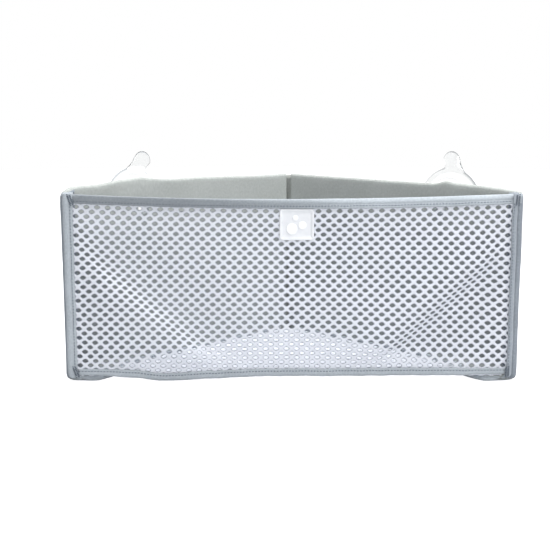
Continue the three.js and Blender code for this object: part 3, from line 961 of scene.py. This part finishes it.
def hang_net(name, side_name, side, field, place, finish, stands_for, area=None):
    close_cut(field, side)
    keep_flat_place(field)
    weight = field.verts.layers.deform.verify()
    for vert in field.verts:
        if not vert[weight]:
            vert[weight][0] = 1
    area = area or sum(face.calc_area() for face in field.faces)
    move_points(field, lambda x, y, _: place(x, y))
    net = make_piece(f"{name}_{side_name}", field, finish, f"{side_name}_wall", [stands_for],
                     NET_THICK, group=STRAND_GROUP, folds=side)

# %% Hang the front net
NET_REACH = {-1: FRONT_HALF - 1.2 * MM, 1: FRONT_HALF - 4.1 * MM}  # the right tape is narrower
NET_FOOT = 1.6 * MM  # from the tape's outer fold to the net's own edge
NET_FLAT = WALL_HEIGHT - 2 * NET_FOOT
OPEN_SHARE = 1 - math.pi * HOLE_ACROSS * HOLE_UP / (2 * CELL_ACROSS * CELL_UP)
NET_STRAY = (0.3 * MM, 11 * MM, 8)
NET_RISE = (0.3 * MM, 12 * MM, 15)


def front_net_point(x, flat_up):
    low = front_foot(x) + NET_FOOT
    high = front_top(x) - NET_FOOT
    x += rippled(x, flat_up, NET_STRAY)
    flat_up += rippled(x, flat_up, NET_RISE)
    return front_place(x, low + (high - low) * min(max(flat_up / NET_FLAT, 0), 1))


def front_net(side_name, side):
    reach = NET_REACH[side]
    hang_net("front_net", side_name, side, half_net(side, reach, 0, NET_FLAT), front_net_point,
             NET_FABRIC, "front_mesh",
             area=reach * NET_FLAT * OPEN_SHARE)


on_both_sides(front_net)

# %% [markdown]
# The tapes round the front
#
# Each tape is folded over an edge of the hanging front. Along the top it puffs up between the
# fold and the seam, sinks where the thread holds it and flares again at its free edge. The left
# half leans its face down and the right half up, so one side is darker, partly by painted shade.

# %% Bind the front's upper edge
FRONT_GAP = 2.3 * MM  # between the middles of the two legs of a front tape
FRONT_TURN = FRONT_GAP / 2
SEAM_INSET = 2.1 * MM  # from a tape's free edge to its stitches
TAPE_PUFF = 0.55 * MM
GROOVE = 0.45 * MM
GROOVE_HALF = 0.8 * MM
EDGE_FLARE = 0.4 * MM


def front_tape_fold(width):
    return Fold(width - FRONT_TURN - TAPE_THICK / 2, FRONT_GAP, FRONT_TURN)


def puffed_fold(fold, travel, strength=1.0, seam=SEAM_INSET):
    """Where the tape is: forward of the net, on from its free edge, and its distance from it."""
    across, reach = fold.path(travel)
    rest = min(travel, fold.width - travel)
    between = math.sin(math.pi * ramp(rest, seam, fold.leg + FRONT_TURN)) * TAPE_PUFF
    groove = GROOVE * math.exp(-((rest - seam) / GROOVE_HALF) ** 2)
    flare = EDGE_FLARE * (1 - ramp(rest, 0, seam))
    return -across + math.copysign(strength * (between - groove + flare), -across), reach, rest


TOP_FOLD = front_tape_fold(TOP_TAPE)
TOP_RIPPLE = (0.3 * MM, 14 * MM, 6.1)
TOP_WANDER = (0.3 * MM, 8 * MM, 5.5)


def top_tape_point(x, travel):
    forward, down, rest = puffed_fold(TOP_FOLD, travel)
    up = front_top(x) - TOP_TAPE + down
    ripple = rippled(x, rest, TOP_RIPPLE)
    edge = rippled(x, 0, TOP_WANDER) * (1 - ramp(rest, 0, TOP_FOLD.leg))
    return front_place(x, up + edge + 0.4 * ripple, forward + ripple)


def top_binding(side_name, side):
    lay_tape(f"top_binding_{side_name}", side_name, ["top_binding"], TOP_FABRIC, TOP_FOLD, 0,
             FRONT_HALF, (1.5 * MM, 0.8 * MM), lambda x, travel: top_tape_point(side * x, travel),
             folds=side)


on_both_sides(top_binding)

# %% [markdown]
# The tape at the foot is softer. It lifts off the floor towards both corners and hangs lower on
# the left, where the weight of the bottom pulls it, so its lower edge is a slow wave.

# %% Bind the front's lower edge
HEM_REACH = FRONT_HALF - 8.8 * MM
HEM_CORNER_RISE = 1.9 * MM
HEM_DIP_PLACE = -105 * MM
HEM_DIP_WIDTH = 26 * MM
HEM_DIP = 2.6 * MM
HEM_LEVEL = 0.8 * MM
HEM_NARROWING = 0.22
HEM_RIPPLE = (0.35 * MM, 16 * MM, 9.7)
HEM_WANDER = (0.4 * MM, 12 * MM, 1.5)
HEM_FOLD = front_tape_fold(HEM_TAPE)


def hem_wave(x):
    corner = HEM_CORNER_RISE * ramp(abs(x), 135 * MM, 166 * MM)
    dip = HEM_DIP * math.exp(-((x - HEM_DIP_PLACE) / HEM_DIP_WIDTH) ** 2)
    left = 2 * MM * ramp(-x, 20 * MM, 70 * MM) - 0.9 * MM * ramp(-x, 112 * MM, 130 * MM)
    return corner + HEM_LEVEL * (1 - ramp(abs(x), 120 * MM, 160 * MM)) - dip - left


def hem_point(x, travel):
    forward, down, rest = puffed_fold(HEM_FOLD, travel, 0.9)
    narrow = 1 - HEM_NARROWING * ramp(abs(x), 135 * MM, 168 * MM)
    up = front_foot(x) + hem_wave(x) + (HEM_TAPE - down) * narrow
    up = max(up + rippled(x, 0, HEM_WANDER), TAPE_THICK / 2)
    return front_place(x, up, forward + rippled(x, rest, HEM_RIPPLE))


def front_hem(side_name, side):
    lay_tape(f"front_hem_{side_name}", side_name, ["front_bottom_binding"], TAPE_FABRIC, HEM_FOLD,
             0, HEM_REACH, (2 * MM, 0.85 * MM), lambda x, travel: hem_point(side * x, travel),
             folds=side)


on_both_sides(front_hem)

# %% [markdown]
# The upright tapes close the front's sides and join it to the walls' rounded ends. Their lower
# ends bend in, because the corner of the cloth is round there. The right one is narrower and
# turned a little, since it turns in beside the wall's end.

# %% Bind the front's sides
SIDE_TAPE = {-1: 8.5 * MM, 1: 4.8 * MM}
SIDE_SEAM = {-1: 2.1 * MM, 1: 1.2 * MM}
SIDE_SHIFT = {-1: 0, 1: 0.9 * MM}
SIDE_SLOPE = {-1: 0, 1: 0.3}
SIDE_FOLD = {side: front_tape_fold(width) for side, width in SIDE_TAPE.items()}
SIDE_INNER = FRONT_HALF - 8.5 * MM
SIDE_FOOT = 3.4 * MM
SIDE_TOP = front_top(FRONT_HALF) + 0.6 * MM
SIDE_WANDER = (0.4 * MM, 24 * MM, 3)
SIDE_RIPPLE = (0.3 * MM, 13 * MM, 11)
OVER_TOP = 1.1 * MM  # how far the side tape stands out where it lies over the other tapes
OVER_FOOT = 0.7 * MM


def side_tape_point(side, up, travel):
    forward, out, rest = puffed_fold(SIDE_FOLD[side], travel, seam=SIDE_SEAM[side])
    low = max(CORNER_ROUND + SIDE_FOOT - up, 0)
    pull = CORNER_ROUND - math.sqrt(CORNER_ROUND ** 2 - low ** 2)
    wander = rippled(up, 0, SIDE_WANDER, side)
    ripple = rippled(up, rest, SIDE_RIPPLE, side)
    x = SIDE_INNER + SIDE_SHIFT[side] + out - 0.45 * pull * out / SIDE_TAPE[side] + wander
    over = OVER_TOP * ramp(up, SIDE_TOP - 11 * MM, SIDE_TOP - 7 * MM)
    over += OVER_FOOT * ramp(SIDE_FOOT + 8 * MM - up, 0, 5 * MM)
    lean = SIDE_SLOPE[side] * (out - SIDE_TAPE[side] / 2)
    return Vector((side * x, FRONT_Y - forward - ripple - math.copysign(over, forward) + lean, up))


def side_tape(side_name, side):
    lay_tape(f"{side_name}_side_tape", side_name, [f"{side_name}_side_binding"],
             SIDE_CLOTH_RIGHT_PAINTED_SHADE[side], SIDE_FOLD[side], SIDE_FOOT, SIDE_TOP, (1.8 * MM, 0.75 * MM),
             lambda up, travel: side_tape_point(side, up, travel))


on_both_sides(side_tape)

# %% [markdown]
# The bottom
#
# The bottom is a triangle of the same net, sewn in along the walls and the front. It is trimmed
# from a field of cells by planes and sags towards its middle.

# %% Hang the bottom net
BOTTOM_UP = 4.6 * MM
BOTTOM_SAG = 2.6 * MM
BOTTOM_INSET = WALL_THICK + 0.9 * MM
BOTTOM_LOWEST = NET_THICK / 2 + 0.2 * MM
BOTTOM_RIPPLE = (0.7 * MM, 26 * MM, 12)
bottom_low, bottom_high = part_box("bottom_mesh")
BOTTOM_FRONT = bottom_low.y - 0.4 * MM
BOTTOM_HALF = bottom_high.x + 2 * MM


def bottom_sag(x, y):
    """0 along the three edges and 1 at the middle of the triangle."""
    front = max(0, y - BOTTOM_FRONT)
    back = CORNER_Y - y
    left = max(0, SLANT * (back + x) - BOTTOM_INSET)
    right = max(0, SLANT * (back - x) - BOTTOM_INSET)
    return 27 * front * left * right / max(front + left + right, MM) ** 3


def bottom_point(x, y):
    near_front = 1 - ramp(y, BOTTOM_FRONT, BOTTOM_FRONT + 50 * MM)
    recess = front_place(x, front_foot(x) + HEM_TAPE / 2).y - FRONT_Y
    sag = bottom_sag(x, y)
    ripple = rippled(x, y, BOTTOM_RIPPLE) * ramp(sag, 0.02, 0.4)
    up = BOTTOM_UP - BOTTOM_SAG * sag + ripple + near_front * 0.4 * (front_foot(x) - hem_low.z)
    return Vector((x, y + near_front * recess, max(up, BOTTOM_LOWEST)))


def bottom_net(side_name, side):
    field = half_net(side, BOTTOM_HALF, BOTTOM_FRONT, bottom_high.y)
    trim(field, wall_point(side, WALL_END / 2, BOTTOM_INSET, 0), (side * SLANT, SLANT, 0))
    hang_net("bottom_net", side_name, side, field, bottom_point, BOTTOM_FABRIC, "bottom_mesh")


on_both_sides(bottom_net)

# %% [markdown]
# The back corner
#
# One strip of fabric hinges the two walls. It is sewn flat to the outside of each, runs in
# through the gap between them and shows as a narrow upright band inside the corner. The band
# starts in a dark crease behind the left wall's end and comes out level with the right wall.
# When the walls fold, the strip bends with them, so it is blended between the two bodies.

# %% Lay the hinge strip
STRIP_FLANGE = 8.5 * MM
STRIP_FIT = 0.3 * MM + TAPE_THICK / 2
STRIP_SUNK = 0.5 * MM  # behind the right wall's inner face
STRIP_CREASE = -2.5 * MM
STRIP_TURN = 0.6 * MM
STRIP_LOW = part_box("back_corner_web")[0].z
STRIP_TOP = WALL_HEIGHT + 0.6 * MM
STRIP_RIPPLE = (0.25 * MM, 20 * MM, 4)
STRIP_BEND = 4 * MM  # on each side of the hinge


def strip_corners(side):
    """One half of the strip in plan, from the crease out to the end of its flange."""
    start = WALL_SETBACK - STRIP_FIT
    outer = wall_point(side, start, -STRIP_FIT, 0)
    crease = Vector((STRIP_CREASE, outer.y + 0.2 * MM, 0))
    turn = [wall_point(1, start, WALL_THICK - STRIP_SUNK, 0)] if side > 0 else []
    return [crease, *turn, outer, wall_point(side, WALL_SETBACK + STRIP_FLANGE, -STRIP_FIT, 0)]


def strip_length(side):
    corners = strip_corners(side)
    return sum((end - start).length for start, end in zip(corners, corners[1:]))


STRIP_LENGTH = {side: strip_length(side) for _, side in SIDES}


def strip_plan(offset):
    """A place on the strip in plan, left of the crease below zero and right of it above."""
    corners = strip_corners(-1 if offset < 0 else 1)
    travel = abs(offset)
    for start, end in zip(corners, corners[1:]):
        length = (end - start).length
        if travel <= length:
            return start.lerp(end, travel / length)
        travel -= length
    return corners[-1]


def strip_point(travel, up):
    offset = travel - STRIP_LENGTH[-1]
    spread = (-STRIP_TURN, -STRIP_TURN / 2, 0, STRIP_TURN / 2, STRIP_TURN)
    plan = sum((strip_plan(offset + step) for step in spread), Vector()) / len(spread)
    return Vector((plan.x, plan.y + rippled(travel, up, STRIP_RIPPLE), up))


def hinge_strip():
    length = STRIP_TOP - STRIP_LOW
    width = sum(STRIP_LENGTH.values())
    cloth = flat_cloth(width, length, 0.6 * MM, 4 * MM)
    move_points(cloth, lambda x, y, _: strip_point(x, STRIP_LOW + y))
    strip = make_piece("hinge_strip", cloth, HINGE_CLOTH_PAINTED_SHADE, None, ["back_corner_web"], TAPE_THICK)
    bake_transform(strip, "left_wall", "right_wall", start=(-STRIP_BEND, HINGE.y, 0),
             end=(STRIP_BEND, HINGE.y, 0))


hinge_strip()

# %% [markdown]
# The label
#
# A small rubber patch hangs under the upper tape, a little right of the middle. It has a raised
# border and three plain raised bubbles. The patch starts as a block whose corners are bevelled,
# its face is inset twice to raise the border, and it is then bent to the hang of the net.

# %% Mould the label
label_low, label_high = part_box("label")
LABEL_MIDDLE = (label_low + label_high) / 2
LABEL_BACK = NET_THICK / 2 + 0.05 * MM
LABEL_THICK = label_high.y - label_low.y
LABEL_ROUND = 2.2 * MM
LABEL_DOME = 0.12 * MM
LABEL_BORDER = 1.6 * MM
LABEL_SUNK = 0.28 * MM
LABEL_SLICE = 2.4 * MM
BUBBLES = ((-4.2, -3.6, 4.6), (4.4, -0.6, 3.4), (-1.2, 5.6, 2.4))  # across, up and radius, mm
BUBBLE_RISE = 0.3 * MM


def on_label(x, depth, up):
    return front_place(x, up, LABEL_BACK + depth)


def label_patch():
    size = label_high - label_low
    patch = block((size.x, LABEL_THICK, size.z), (0, 0, 0))
    corners = [edge for edge in patch.edges if runs_through(edge, LABEL_THICK)]
    bevel(patch, corners, LABEL_ROUND, 5)
    face = min(patch.faces, key=lambda item: item.calc_center_median().y)
    for inset, rise in ((0.35 * MM, LABEL_DOME), (LABEL_BORDER, 0), (0.3 * MM, -LABEL_SUNK)):
        bmesh.ops.inset_region(patch, faces=[face], thickness=inset, depth=rise)
    place = (LABEL_MIDDLE.x, -LABEL_THICK / 2, LABEL_MIDDLE.z)
    bmesh.ops.translate(patch, vec=place, verts=patch.verts)
    for axis, start, end in ((0, label_low.x, label_high.x), (2, label_low.z, label_high.z)):
        slice_evenly(patch, axis, start, end, LABEL_SLICE, LABEL_MIDDLE[axis])
    move_points(patch, lambda x, y, z: on_label(x, -y, z))
    make_piece("label_patch", patch, LABEL_RUBBER, "right_wall", ["label"], folds=1)


def label_bubbles():
    bubbles = bmesh.new()
    floor = LABEL_THICK + LABEL_DOME - LABEL_SUNK
    for across, rise, radius in BUBBLES:
        spot = Matrix.Translation((across * MM, rise * MM, 0))
        disc = bmesh.ops.create_circle(bubbles, cap_ends=True, segments=28, radius=radius * MM,
                                       matrix=spot)
        face = next(iter(disc["verts"][0].link_faces))
        top = bmesh.ops.extrude_face_region(bubbles, geom=[face])["geom"]
        raised = [item for item in top if isinstance(item, bmesh.types.BMVert)]
        bmesh.ops.translate(bubbles, vec=(0, 0, BUBBLE_RISE), verts=raised)
        cap = next(item for item in top if isinstance(item, bmesh.types.BMFace))
        for share in (0.12, 0.2, 0.3):
            bmesh.ops.inset_region(bubbles, faces=[cap], thickness=share * radius * MM,
                                   depth=(0.34 - share) * 0.7 * MM)
        bmesh.ops.poke(bubbles, faces=[cap])
    move_points(bubbles, lambda x, z, raised: on_label(LABEL_MIDDLE.x + x, floor + raised,
                                                       LABEL_MIDDLE.z + z))
    bmesh.ops.recalc_face_normals(bubbles, faces=bubbles.faces)
    make_piece("label_bubbles", bubbles, LABEL_RAISED, "right_wall", folds=1)


label_patch()
label_bubbles()

# %% [markdown]
# Turned pieces
#
# The eyelets and the suction cups are round, so each is a profile spun about its axis. Helpers
# spin a profile and then set it in the wall at the cup's place.

# %% Spin a profile and set it in a wall
def turned(profile, steps, closed=False):
    shape = bmesh.new()
    chain = [shape.verts.new((radius * MM, through * MM, 0)) for radius, through in profile]
    pairs = list(zip(chain, chain[1:] + chain[:1]))
    edges = [shape.edges.new(pair) for pair in (pairs if closed else pairs[:-1])]
    bmesh.ops.spin(shape, geom=chain + edges, cent=(0, 0, 0), axis=(0, 1, 0), angle=math.tau,
                   steps=steps, use_merge=True)
    bmesh.ops.remove_doubles(shape, verts=shape.verts, dist=0.01 * MM)
    bmesh.ops.recalc_face_normals(shape, faces=shape.faces)
    return shape


def set_in_wall(shape, side, turn=0.0):
    def place(along, through, up):
        swung = along * math.cos(turn) + up * math.sin(turn)
        risen = up * math.cos(turn) - along * math.sin(turn)
        return wall_point(side, CUP_STATION + swung, through, CUP_HEIGHT + risen)
    move_points(shape, place)
    bmesh.ops.recalc_face_normals(shape, faces=shape.faces)
    return shape

# %% [markdown]
# An eyelet is two parts: a barrel with a flange inside the bin, and a washer outside that it is
# clenched over. The flanges are slightly domed and rolled at their rims.

# %% Turn the eyelets and their washers
SEAT = 4.7  # mm through the wall, where the inner flange lies
RINGS = {
    "eyelet": ((5, -1.5), (5.8, -1.45), (5.8, SEAT), (7.2, SEAT), (7.5, SEAT + 0.25),
               (7.3, SEAT + 0.65), (6.6, SEAT + 0.95), (5.5, SEAT + 0.95), (5, SEAT + 0.6)),
    "eyelet_washer": ((6.1, -0.3), (6.1, -1.15), (6.6, -1.3), (8.2, -1.25), (9.2, -0.95),
                      (9.5, -0.6), (9.3, -0.3)),
}
RING_STEPS = 48
RING_BEVEL = 0.15 * MM


def eyelets(side_name, side):
    for name, profile in RINGS.items():
        shape = set_in_wall(turned(profile, RING_STEPS, closed=True), side)
        ring = make_piece(f"{side_name}_{name}_ring", shape, EYELET_PLASTIC,
                          f"{side_name}_wall", [f"{side_name}_{name}"])
        rounded = ring.modifiers.new("rounded", "BEVEL")
        rounded.width = RING_BEVEL
        rounded.segments = 2
        rounded.angle_limit = math.radians(40)


on_both_sides(eyelets)

# %% [markdown]
# A suction cup is one moulding of clear vinyl. Its disc is a shallow dome with two fine sealing
# ridges, its neck passes through the eyelet and its round head holds it there. A tab grows out
# of the rim so that a thumb can lift the seal. The tab is extruded from the rim's own faces and
# curls towards the fabric, and so does the soft rim on one side. Each point keeps its distance
# from the outline, plus a little on one side, where the painted edge shade is then fainter.

# %% Turn the suction cups and draw out their tabs
CUP_STANDOFF = 11.5
CUP_PROFILE = ((0, 4.2), (6, 4.12), (12, 3.82), (17, 3.2), (21.5, 2.5), (26, 1.35), (29.4, 0.2),
               (30.2, 0), (31, 0.22), (31.8, 0), (32.6, 0.2), (33.5, 0), (34, 0.3), (34, 1.2),
               (33.5, 1.6), (29.2, 2.69), (25, 3.75), (24.4, 4.35), (23.4, 4.5), (18, 5.7),
               (13.6, 6.8), (10.4, 7.75), (8.4, 8.5), (7.2, 9.25), (5, 9.4), (4.5, 9.8),
               (4.5, 17.3), (4.9, 17.6), (6, 17.6), (6.5, 17.9), (6.7, 18.4), (6.5, 19.1),
               (5.6, 19.7), (3.9, 20.2), (2, 20.4), (0, 20.45))
CUP_STEPS = 72
RIM = 34 * MM
CUP_BEND = {-1: 6.5 * MM, 1: 1 * MM}  # how far the soft rim curls towards the wall on one side
BEND_START = 6 * MM  # from the cup's axis, away from the side that curls
TAB_REACH = 15.4 * MM
TAB_HALF = 9.5 * MM
TAB_LEAN = {-1: 8 * MM, 1: 6 * MM}
TAB_ROWS = 6
TAB_SPREAD = 4  # steps of the rim on each side of the tab's middle
TAB_ANGLE = TAB_SPREAD * math.tau / CUP_STEPS
TAB_TURN = {-1: math.radians(-10.5), 1: math.radians(6.5)}
# painted shade on the edge is fainter on the side where these millimetres are added
FAINTER_EDGE_SHADE = {"cup": 1.5, "tab": 1.6}  # mm added on one side to the distance from the outline


def tab_place(share, spread):
    """Outline of the tab: share runs from the rim to the tip, spread from edge to edge."""
    angle = spread * TAB_SPREAD * math.tau / CUP_STEPS
    root = Vector((RIM * math.sin(angle), RIM * math.cos(angle)))
    arc = spread * math.pi / 2
    tip_centre = RIM + TAB_REACH - TAB_HALF
    tip = Vector((TAB_HALF * math.sin(arc), tip_centre + TAB_HALF * math.cos(arc)))
    place = root.lerp(tip, share)
    place.x *= 1 - 0.1 * math.sin(math.pi * share)
    return place


def tab_lean(share, side):
    return TAB_LEAN[side] * max(share, 0) ** 1.4


def mark_inset(cup):
    """Keep each point's distance from the outline, in millimetres; the tab's root is not outline."""
    inset = cup.verts.layers.float.new("inset")
    for vert in cup.verts:
        spread = abs(math.atan2(vert.co.x, vert.co.z)) / TAB_ANGLE
        beside = TAB_HALF * max(1 - spread, 0)
        vert[inset] = max(RIM - math.hypot(vert.co.x, vert.co.z), beside) / MM
        # more on one side, so the painted edge shade is fainter there
        vert[inset] += FAINTER_EDGE_SHADE["cup"] * max(-vert.co.x / RIM, 0)


def at_tab_root(face):
    middle = face.calc_center_median()
    on_rim = abs(math.hypot(*middle.xz) - RIM) < 0.1 * MM
    return on_rim and abs(math.atan2(middle.x, middle.z)) < TAB_ANGLE


def rounded_place(vert):
    return tuple(round(value / MM, 3) for value in vert.co)


def draw_out_tab(cup, side):
    """Extrude the rim's faces row by row; each point's spread is found again by its last place."""
    inset = cup.verts.layers.float["inset"]
    rim = [face for face in cup.faces if at_tab_root(face)]
    spreads = {}
    for row in range(1, TAB_ROWS + 1):
        grown = bmesh.ops.extrude_face_region(cup, geom=rim)["geom"]
        bmesh.ops.delete(cup, geom=rim, context="FACES_ONLY")
        rim = [item for item in grown if isinstance(item, bmesh.types.BMFace)]
        share = row / TAB_ROWS
        for vert in {vert for face in rim for vert in face.verts}:
            first = row == 1
            spread = (math.atan2(vert.co.x, vert.co.z) / TAB_ANGLE if first
                      else spreads[rounded_place(vert)])
            base = vert.co.y - (0 if first else tab_lean(share - 1 / TAB_ROWS, side))
            across, up = tab_place(share, spread)
            vert.co = (across, base + tab_lean(share, side), up)
            vert[inset] = min(TAB_HALF * (1 - abs(spread)), TAB_REACH * (1 - share)) / MM
            # more on one side, so the painted edge shade is fainter there
            vert[inset] += FAINTER_EDGE_SHADE["tab"] * max(-spread, 0)
            spreads[rounded_place(vert)] = spread


def curl_rim(side, x, y, z):
    reach = max(x + BEND_START, 0) / (RIM + BEND_START)
    return Vector((x, y + CUP_BEND[side] * (1 - ramp(y, 4 * MM, 9 * MM)) * reach ** 1.6, z))


def suction_cup(side_name, side):
    cup = turned(CUP_PROFILE, CUP_STEPS)
    mark_inset(cup)
    draw_out_tab(cup, side)
    bmesh.ops.remove_doubles(cup, verts=cup.verts, dist=0.01 * MM)
    move_points(cup, lambda x, y, z: curl_rim(side, x, y, z))
    bmesh.ops.translate(cup, vec=(0, -CUP_STANDOFF * MM, 0), verts=cup.verts)
    set_in_wall(cup, side, TAB_TURN[side])
    piece = make_piece(f"{side_name}_cup", cup, CLEAR_VINYL, f"{side_name}_cup",
                       [f"{side_name}_suction_cup"])
    smooth = piece.modifiers.new("smooth", "SUBSURF")
    smooth.levels = smooth.render_levels = 1


on_both_sides(suction_cup)

# %% [markdown]
# Stitching
#
# Thread lies in short beads that sink a little into the tape. One bead is a low ball with a few
# dozen faces, stretched along the seam. Each row of beads reads the same surface as its tape, so
# it follows every ripple. A seam through a folded strip shows on both of its sides.

# %% Sew rows of stitches
STITCH_PITCH = 2.6 * MM
BEAD = (0.85 * MM, 0.4 * MM, 1.8 * MM)  # across the seam, out of the cloth, along the seam
PROBE = 0.4 * MM
FORWARD = Vector((0, -1, 0))
END_SEAM = 1.4 * MM
STRIP_SEAMS = (1.6 * MM, 6.2 * MM)


def add_bead(row, centre, along, out):
    along = along.normalized()
    out = (out - along * out.dot(along)).normalized()
    turn = Matrix((along.cross(out), out, along)).transposed()
    place = Matrix.Translation(centre) @ (turn @ Matrix.Diagonal(BEAD)).to_4x4()
    bead = bmesh.ops.create_uvsphere(row, u_segments=6, v_segments=4, radius=0.5)["verts"]
    bmesh.ops.transform(row, matrix=place, verts=bead)


def sew(row, surface, start, end, across, outward):
    """Beads along a surface(along, across) from start to end, on its side that faces outward."""
    count = max(1, round((end - start) / STITCH_PITCH))
    for number in range(count):
        spot = start + (number + 0.5) * (end - start) / count
        centre = surface(spot, across)
        along = surface(spot + PROBE, across) - surface(spot - PROBE, across)
        width = surface(spot, across + PROBE) - surface(spot, across - PROBE)
        out = along.cross(width).normalized()
        out = out if out.dot(outward) > 0 else -out
        add_bead(row, centre + out * (TAPE_THICK / 2), along, out)


def sew_through(row, surface, start, end, fold, inset, outward):
    sew(row, surface, start, end, inset, outward)
    sew(row, surface, start, end, fold.width - inset, -outward)


def sew_front(side_name, side):
    for name, surface, reach, fold in (("top", top_tape_point, SIDE_INNER, TOP_FOLD),
                                       ("foot", hem_point, HEM_REACH, HEM_FOLD)):
        row = bmesh.new()
        sew_through(row, lambda x, y: surface(side * x, y), 0, reach, fold, SEAM_INSET, FORWARD)
        make_piece(f"{name}_stitches_{side_name}", row, TAPE_THREAD_WITH_HOLE_SHADE, f"{side_name}_wall",
                   folds=side)
    row = bmesh.new()
    sew_through(row, lambda x, y: side_tape_point(side, x, y), SIDE_FOOT + 6 * MM,
                SIDE_TOP - 8 * MM, SIDE_FOLD[side], SIDE_SEAM[side], FORWARD)
    make_piece(f"{side_name}_side_stitches", row, TAPE_THREAD_WITH_HOLE_SHADE, f"{side_name}_wall")


def sew_wall(side_name, side):
    outward = wall_point(side, 0, -1, 0) - wall_point(side, 0, 0, 0)
    row = bmesh.new()
    sew_through(row, lambda x, y: wall_hem_point(side, x, y), WALL_HEM_START + MM,
                WALL_HEM_END - MM, WALL_HEM_FOLD, SEAM_INSET, outward)
    sew_through(row, lambda x, y: end_tape_point(side, x, y), END_LOW + 9 * MM, END_HIGH - MM,
                END_FOLD, END_SEAM, outward)
    make_piece(f"{side_name}_hem_stitches", row, TAPE_THREAD_WITH_HOLE_SHADE, f"{side_name}_wall")
    row = bmesh.new()
    for inset in STRIP_SEAMS:
        travel = STRIP_LENGTH[-1] + side * (STRIP_LENGTH[side] - inset)
        sew(row, lambda y, x: strip_point(x, y), STRIP_LOW + 2 * MM, STRIP_TOP - 2 * MM,
            travel, outward)
    make_piece(f"{side_name}_strip_stitches", row, WALL_THREAD, f"{side_name}_wall")


def sew_side(side_name, side):
    sew_front(side_name, side)
    sew_wall(side_name, side)


on_both_sides(sew_side)

# %% [markdown]
# Each corner of the front is held by a bartack, a dense zigzag sewn over the crossing tapes. It
# is what makes the corners of the photographed bag look knotted. Every other thread of the
# zigzag lies a little higher and slopes the other way.

# %% Sew the corner tacks
TACK_ROWS = 14
TACK_PITCH = 0.62 * MM
TACK_SWING = 2.1 * MM
TACK_TILT = 0.55
TACK_OUT = 1.9 * MM
TACK_OVERLAP = 0.25 * MM
TACK_SLOPE = {-1: 0.35, 1: 0.05}
TACK_PLACES = {  # across and up, for the upper and the lower corner
    side: ((SIDE_INNER + 1.6 * MM + shift, SIDE_TOP - 5.5 * MM), (SIDE_INNER + 1.2 * MM, 9.5 * MM))
    for side, shift in ((-1, 0), (1, 3.4 * MM))}


def corner_tacks(side_name, side):
    row = bmesh.new()
    for x, up in TACK_PLACES[side]:
        for number in range(TACK_ROWS):
            odd = number % 2
            step = (number - TACK_ROWS / 2) * TACK_PITCH
            spot = Vector((side * (x + TACK_SLOPE[side] * step), 0, up + step))
            spot.y = FRONT_Y - FRONT_GAP / 2 - TACK_OUT - TACK_OVERLAP * odd
            along = Vector((side, 0, TACK_TILT if odd else -TACK_TILT))
            for share in (-0.5, 0.5):
                add_bead(row, spot + along * share * TACK_SWING, along, FORWARD)
    make_piece(f"{side_name}_corner_tacks", row, TACK_THREAD, f"{side_name}_wall")


on_both_sides(corner_tacks)

# %% [markdown]
# Floor, light and background
#
# The floor is a pale sheet. For the camera it glows a little over its own colour, so that it
# reads white and still keeps the object's shadow. The world is white where the camera, a gloss
# or a clear piece looks at it, and gives the object only an even soft light. One lamp high at the
# front right models the forms, one overhead lights the bottom net through the open top, and a
# weak one beside the camera keeps the folds from going dull.

# %% Lay the floor and set the lights
PURE_WHITE = (1, 1, 1, 1)
FLOOR_GLOW = 0.88
WORLD_LIGHT = 0.42
MIDDLE = (0, 0, 0.09)
LAMPS = (("key", (0.8, -0.7, 1.5), 0.6, 18),  # place, size in m and power in W
         ("overhead", (0, -0.05, 1.3), 0.5, 18),
         ("fill", (0.1, -1.4, 0.3), 0.8, 5.5))


def floor_finish():
    finish = Finish("floor", 0.9)
    cloud = finish.grain(finish.object_place(), 12)
    finish.colour(finish.shades(cloud, ((194, 195, 197), (198, 199, 201))))
    strength = finish.combine("MULTIPLY", finish.seen_directly(), FLOOR_GLOW)
    glow = finish.add("Emission", Color=PURE_WHITE, Strength=strength)
    finish.show(finish.join("AddShader", finish.shader, glow))
    return finish.material


def floor_sheet():
    mesh = bpy.data.meshes.new("floor")
    shape = bmesh.new()
    bmesh.ops.create_circle(shape, cap_ends=True, segments=64, radius=2.6)
    shape.to_mesh(mesh)
    shape.free()
    mesh.materials.append(floor_finish())
    floor = bpy.data.objects.new("floor", mesh)
    bpy.context.scene.collection.objects.link(floor)


def world_light():
    world = bpy.data.worlds.new("studio")
    graph = Graph(world)
    soft = graph.nodes["Background"]
    soft.inputs["Color"].default_value = paint(250, 252, 255)
    soft.inputs["Strength"].default_value = WORLD_LIGHT
    white = graph.add("Background", Color=PURE_WHITE)
    seen = graph.join("MixShader", soft, white, Fac=graph.seen_directly())
    graph.feed(graph.nodes["World Output"].inputs["Surface"], seen)
    bpy.context.scene.world = world


def soft_lamp(name, place, size, power):
    lamp = bpy.data.objects.new(name, bpy.data.lights.new(name, "AREA"))
    lamp.data.shape = "DISK"
    lamp.data.size = size
    lamp.data.energy = power
    lamp.location = place
    aim = Vector(MIDDLE) - Vector(place)
    lamp.rotation_euler = aim.to_track_quat("-Z", "Y").to_euler()
    bpy.context.scene.collection.objects.link(lamp)


floor_sheet()
world_light()
for lamp in LAMPS:
    soft_lamp(*lamp)
bpy.context.scene.view_settings.view_transform = "Standard"
print("lamps:", ", ".join(name for name, *_ in LAMPS))
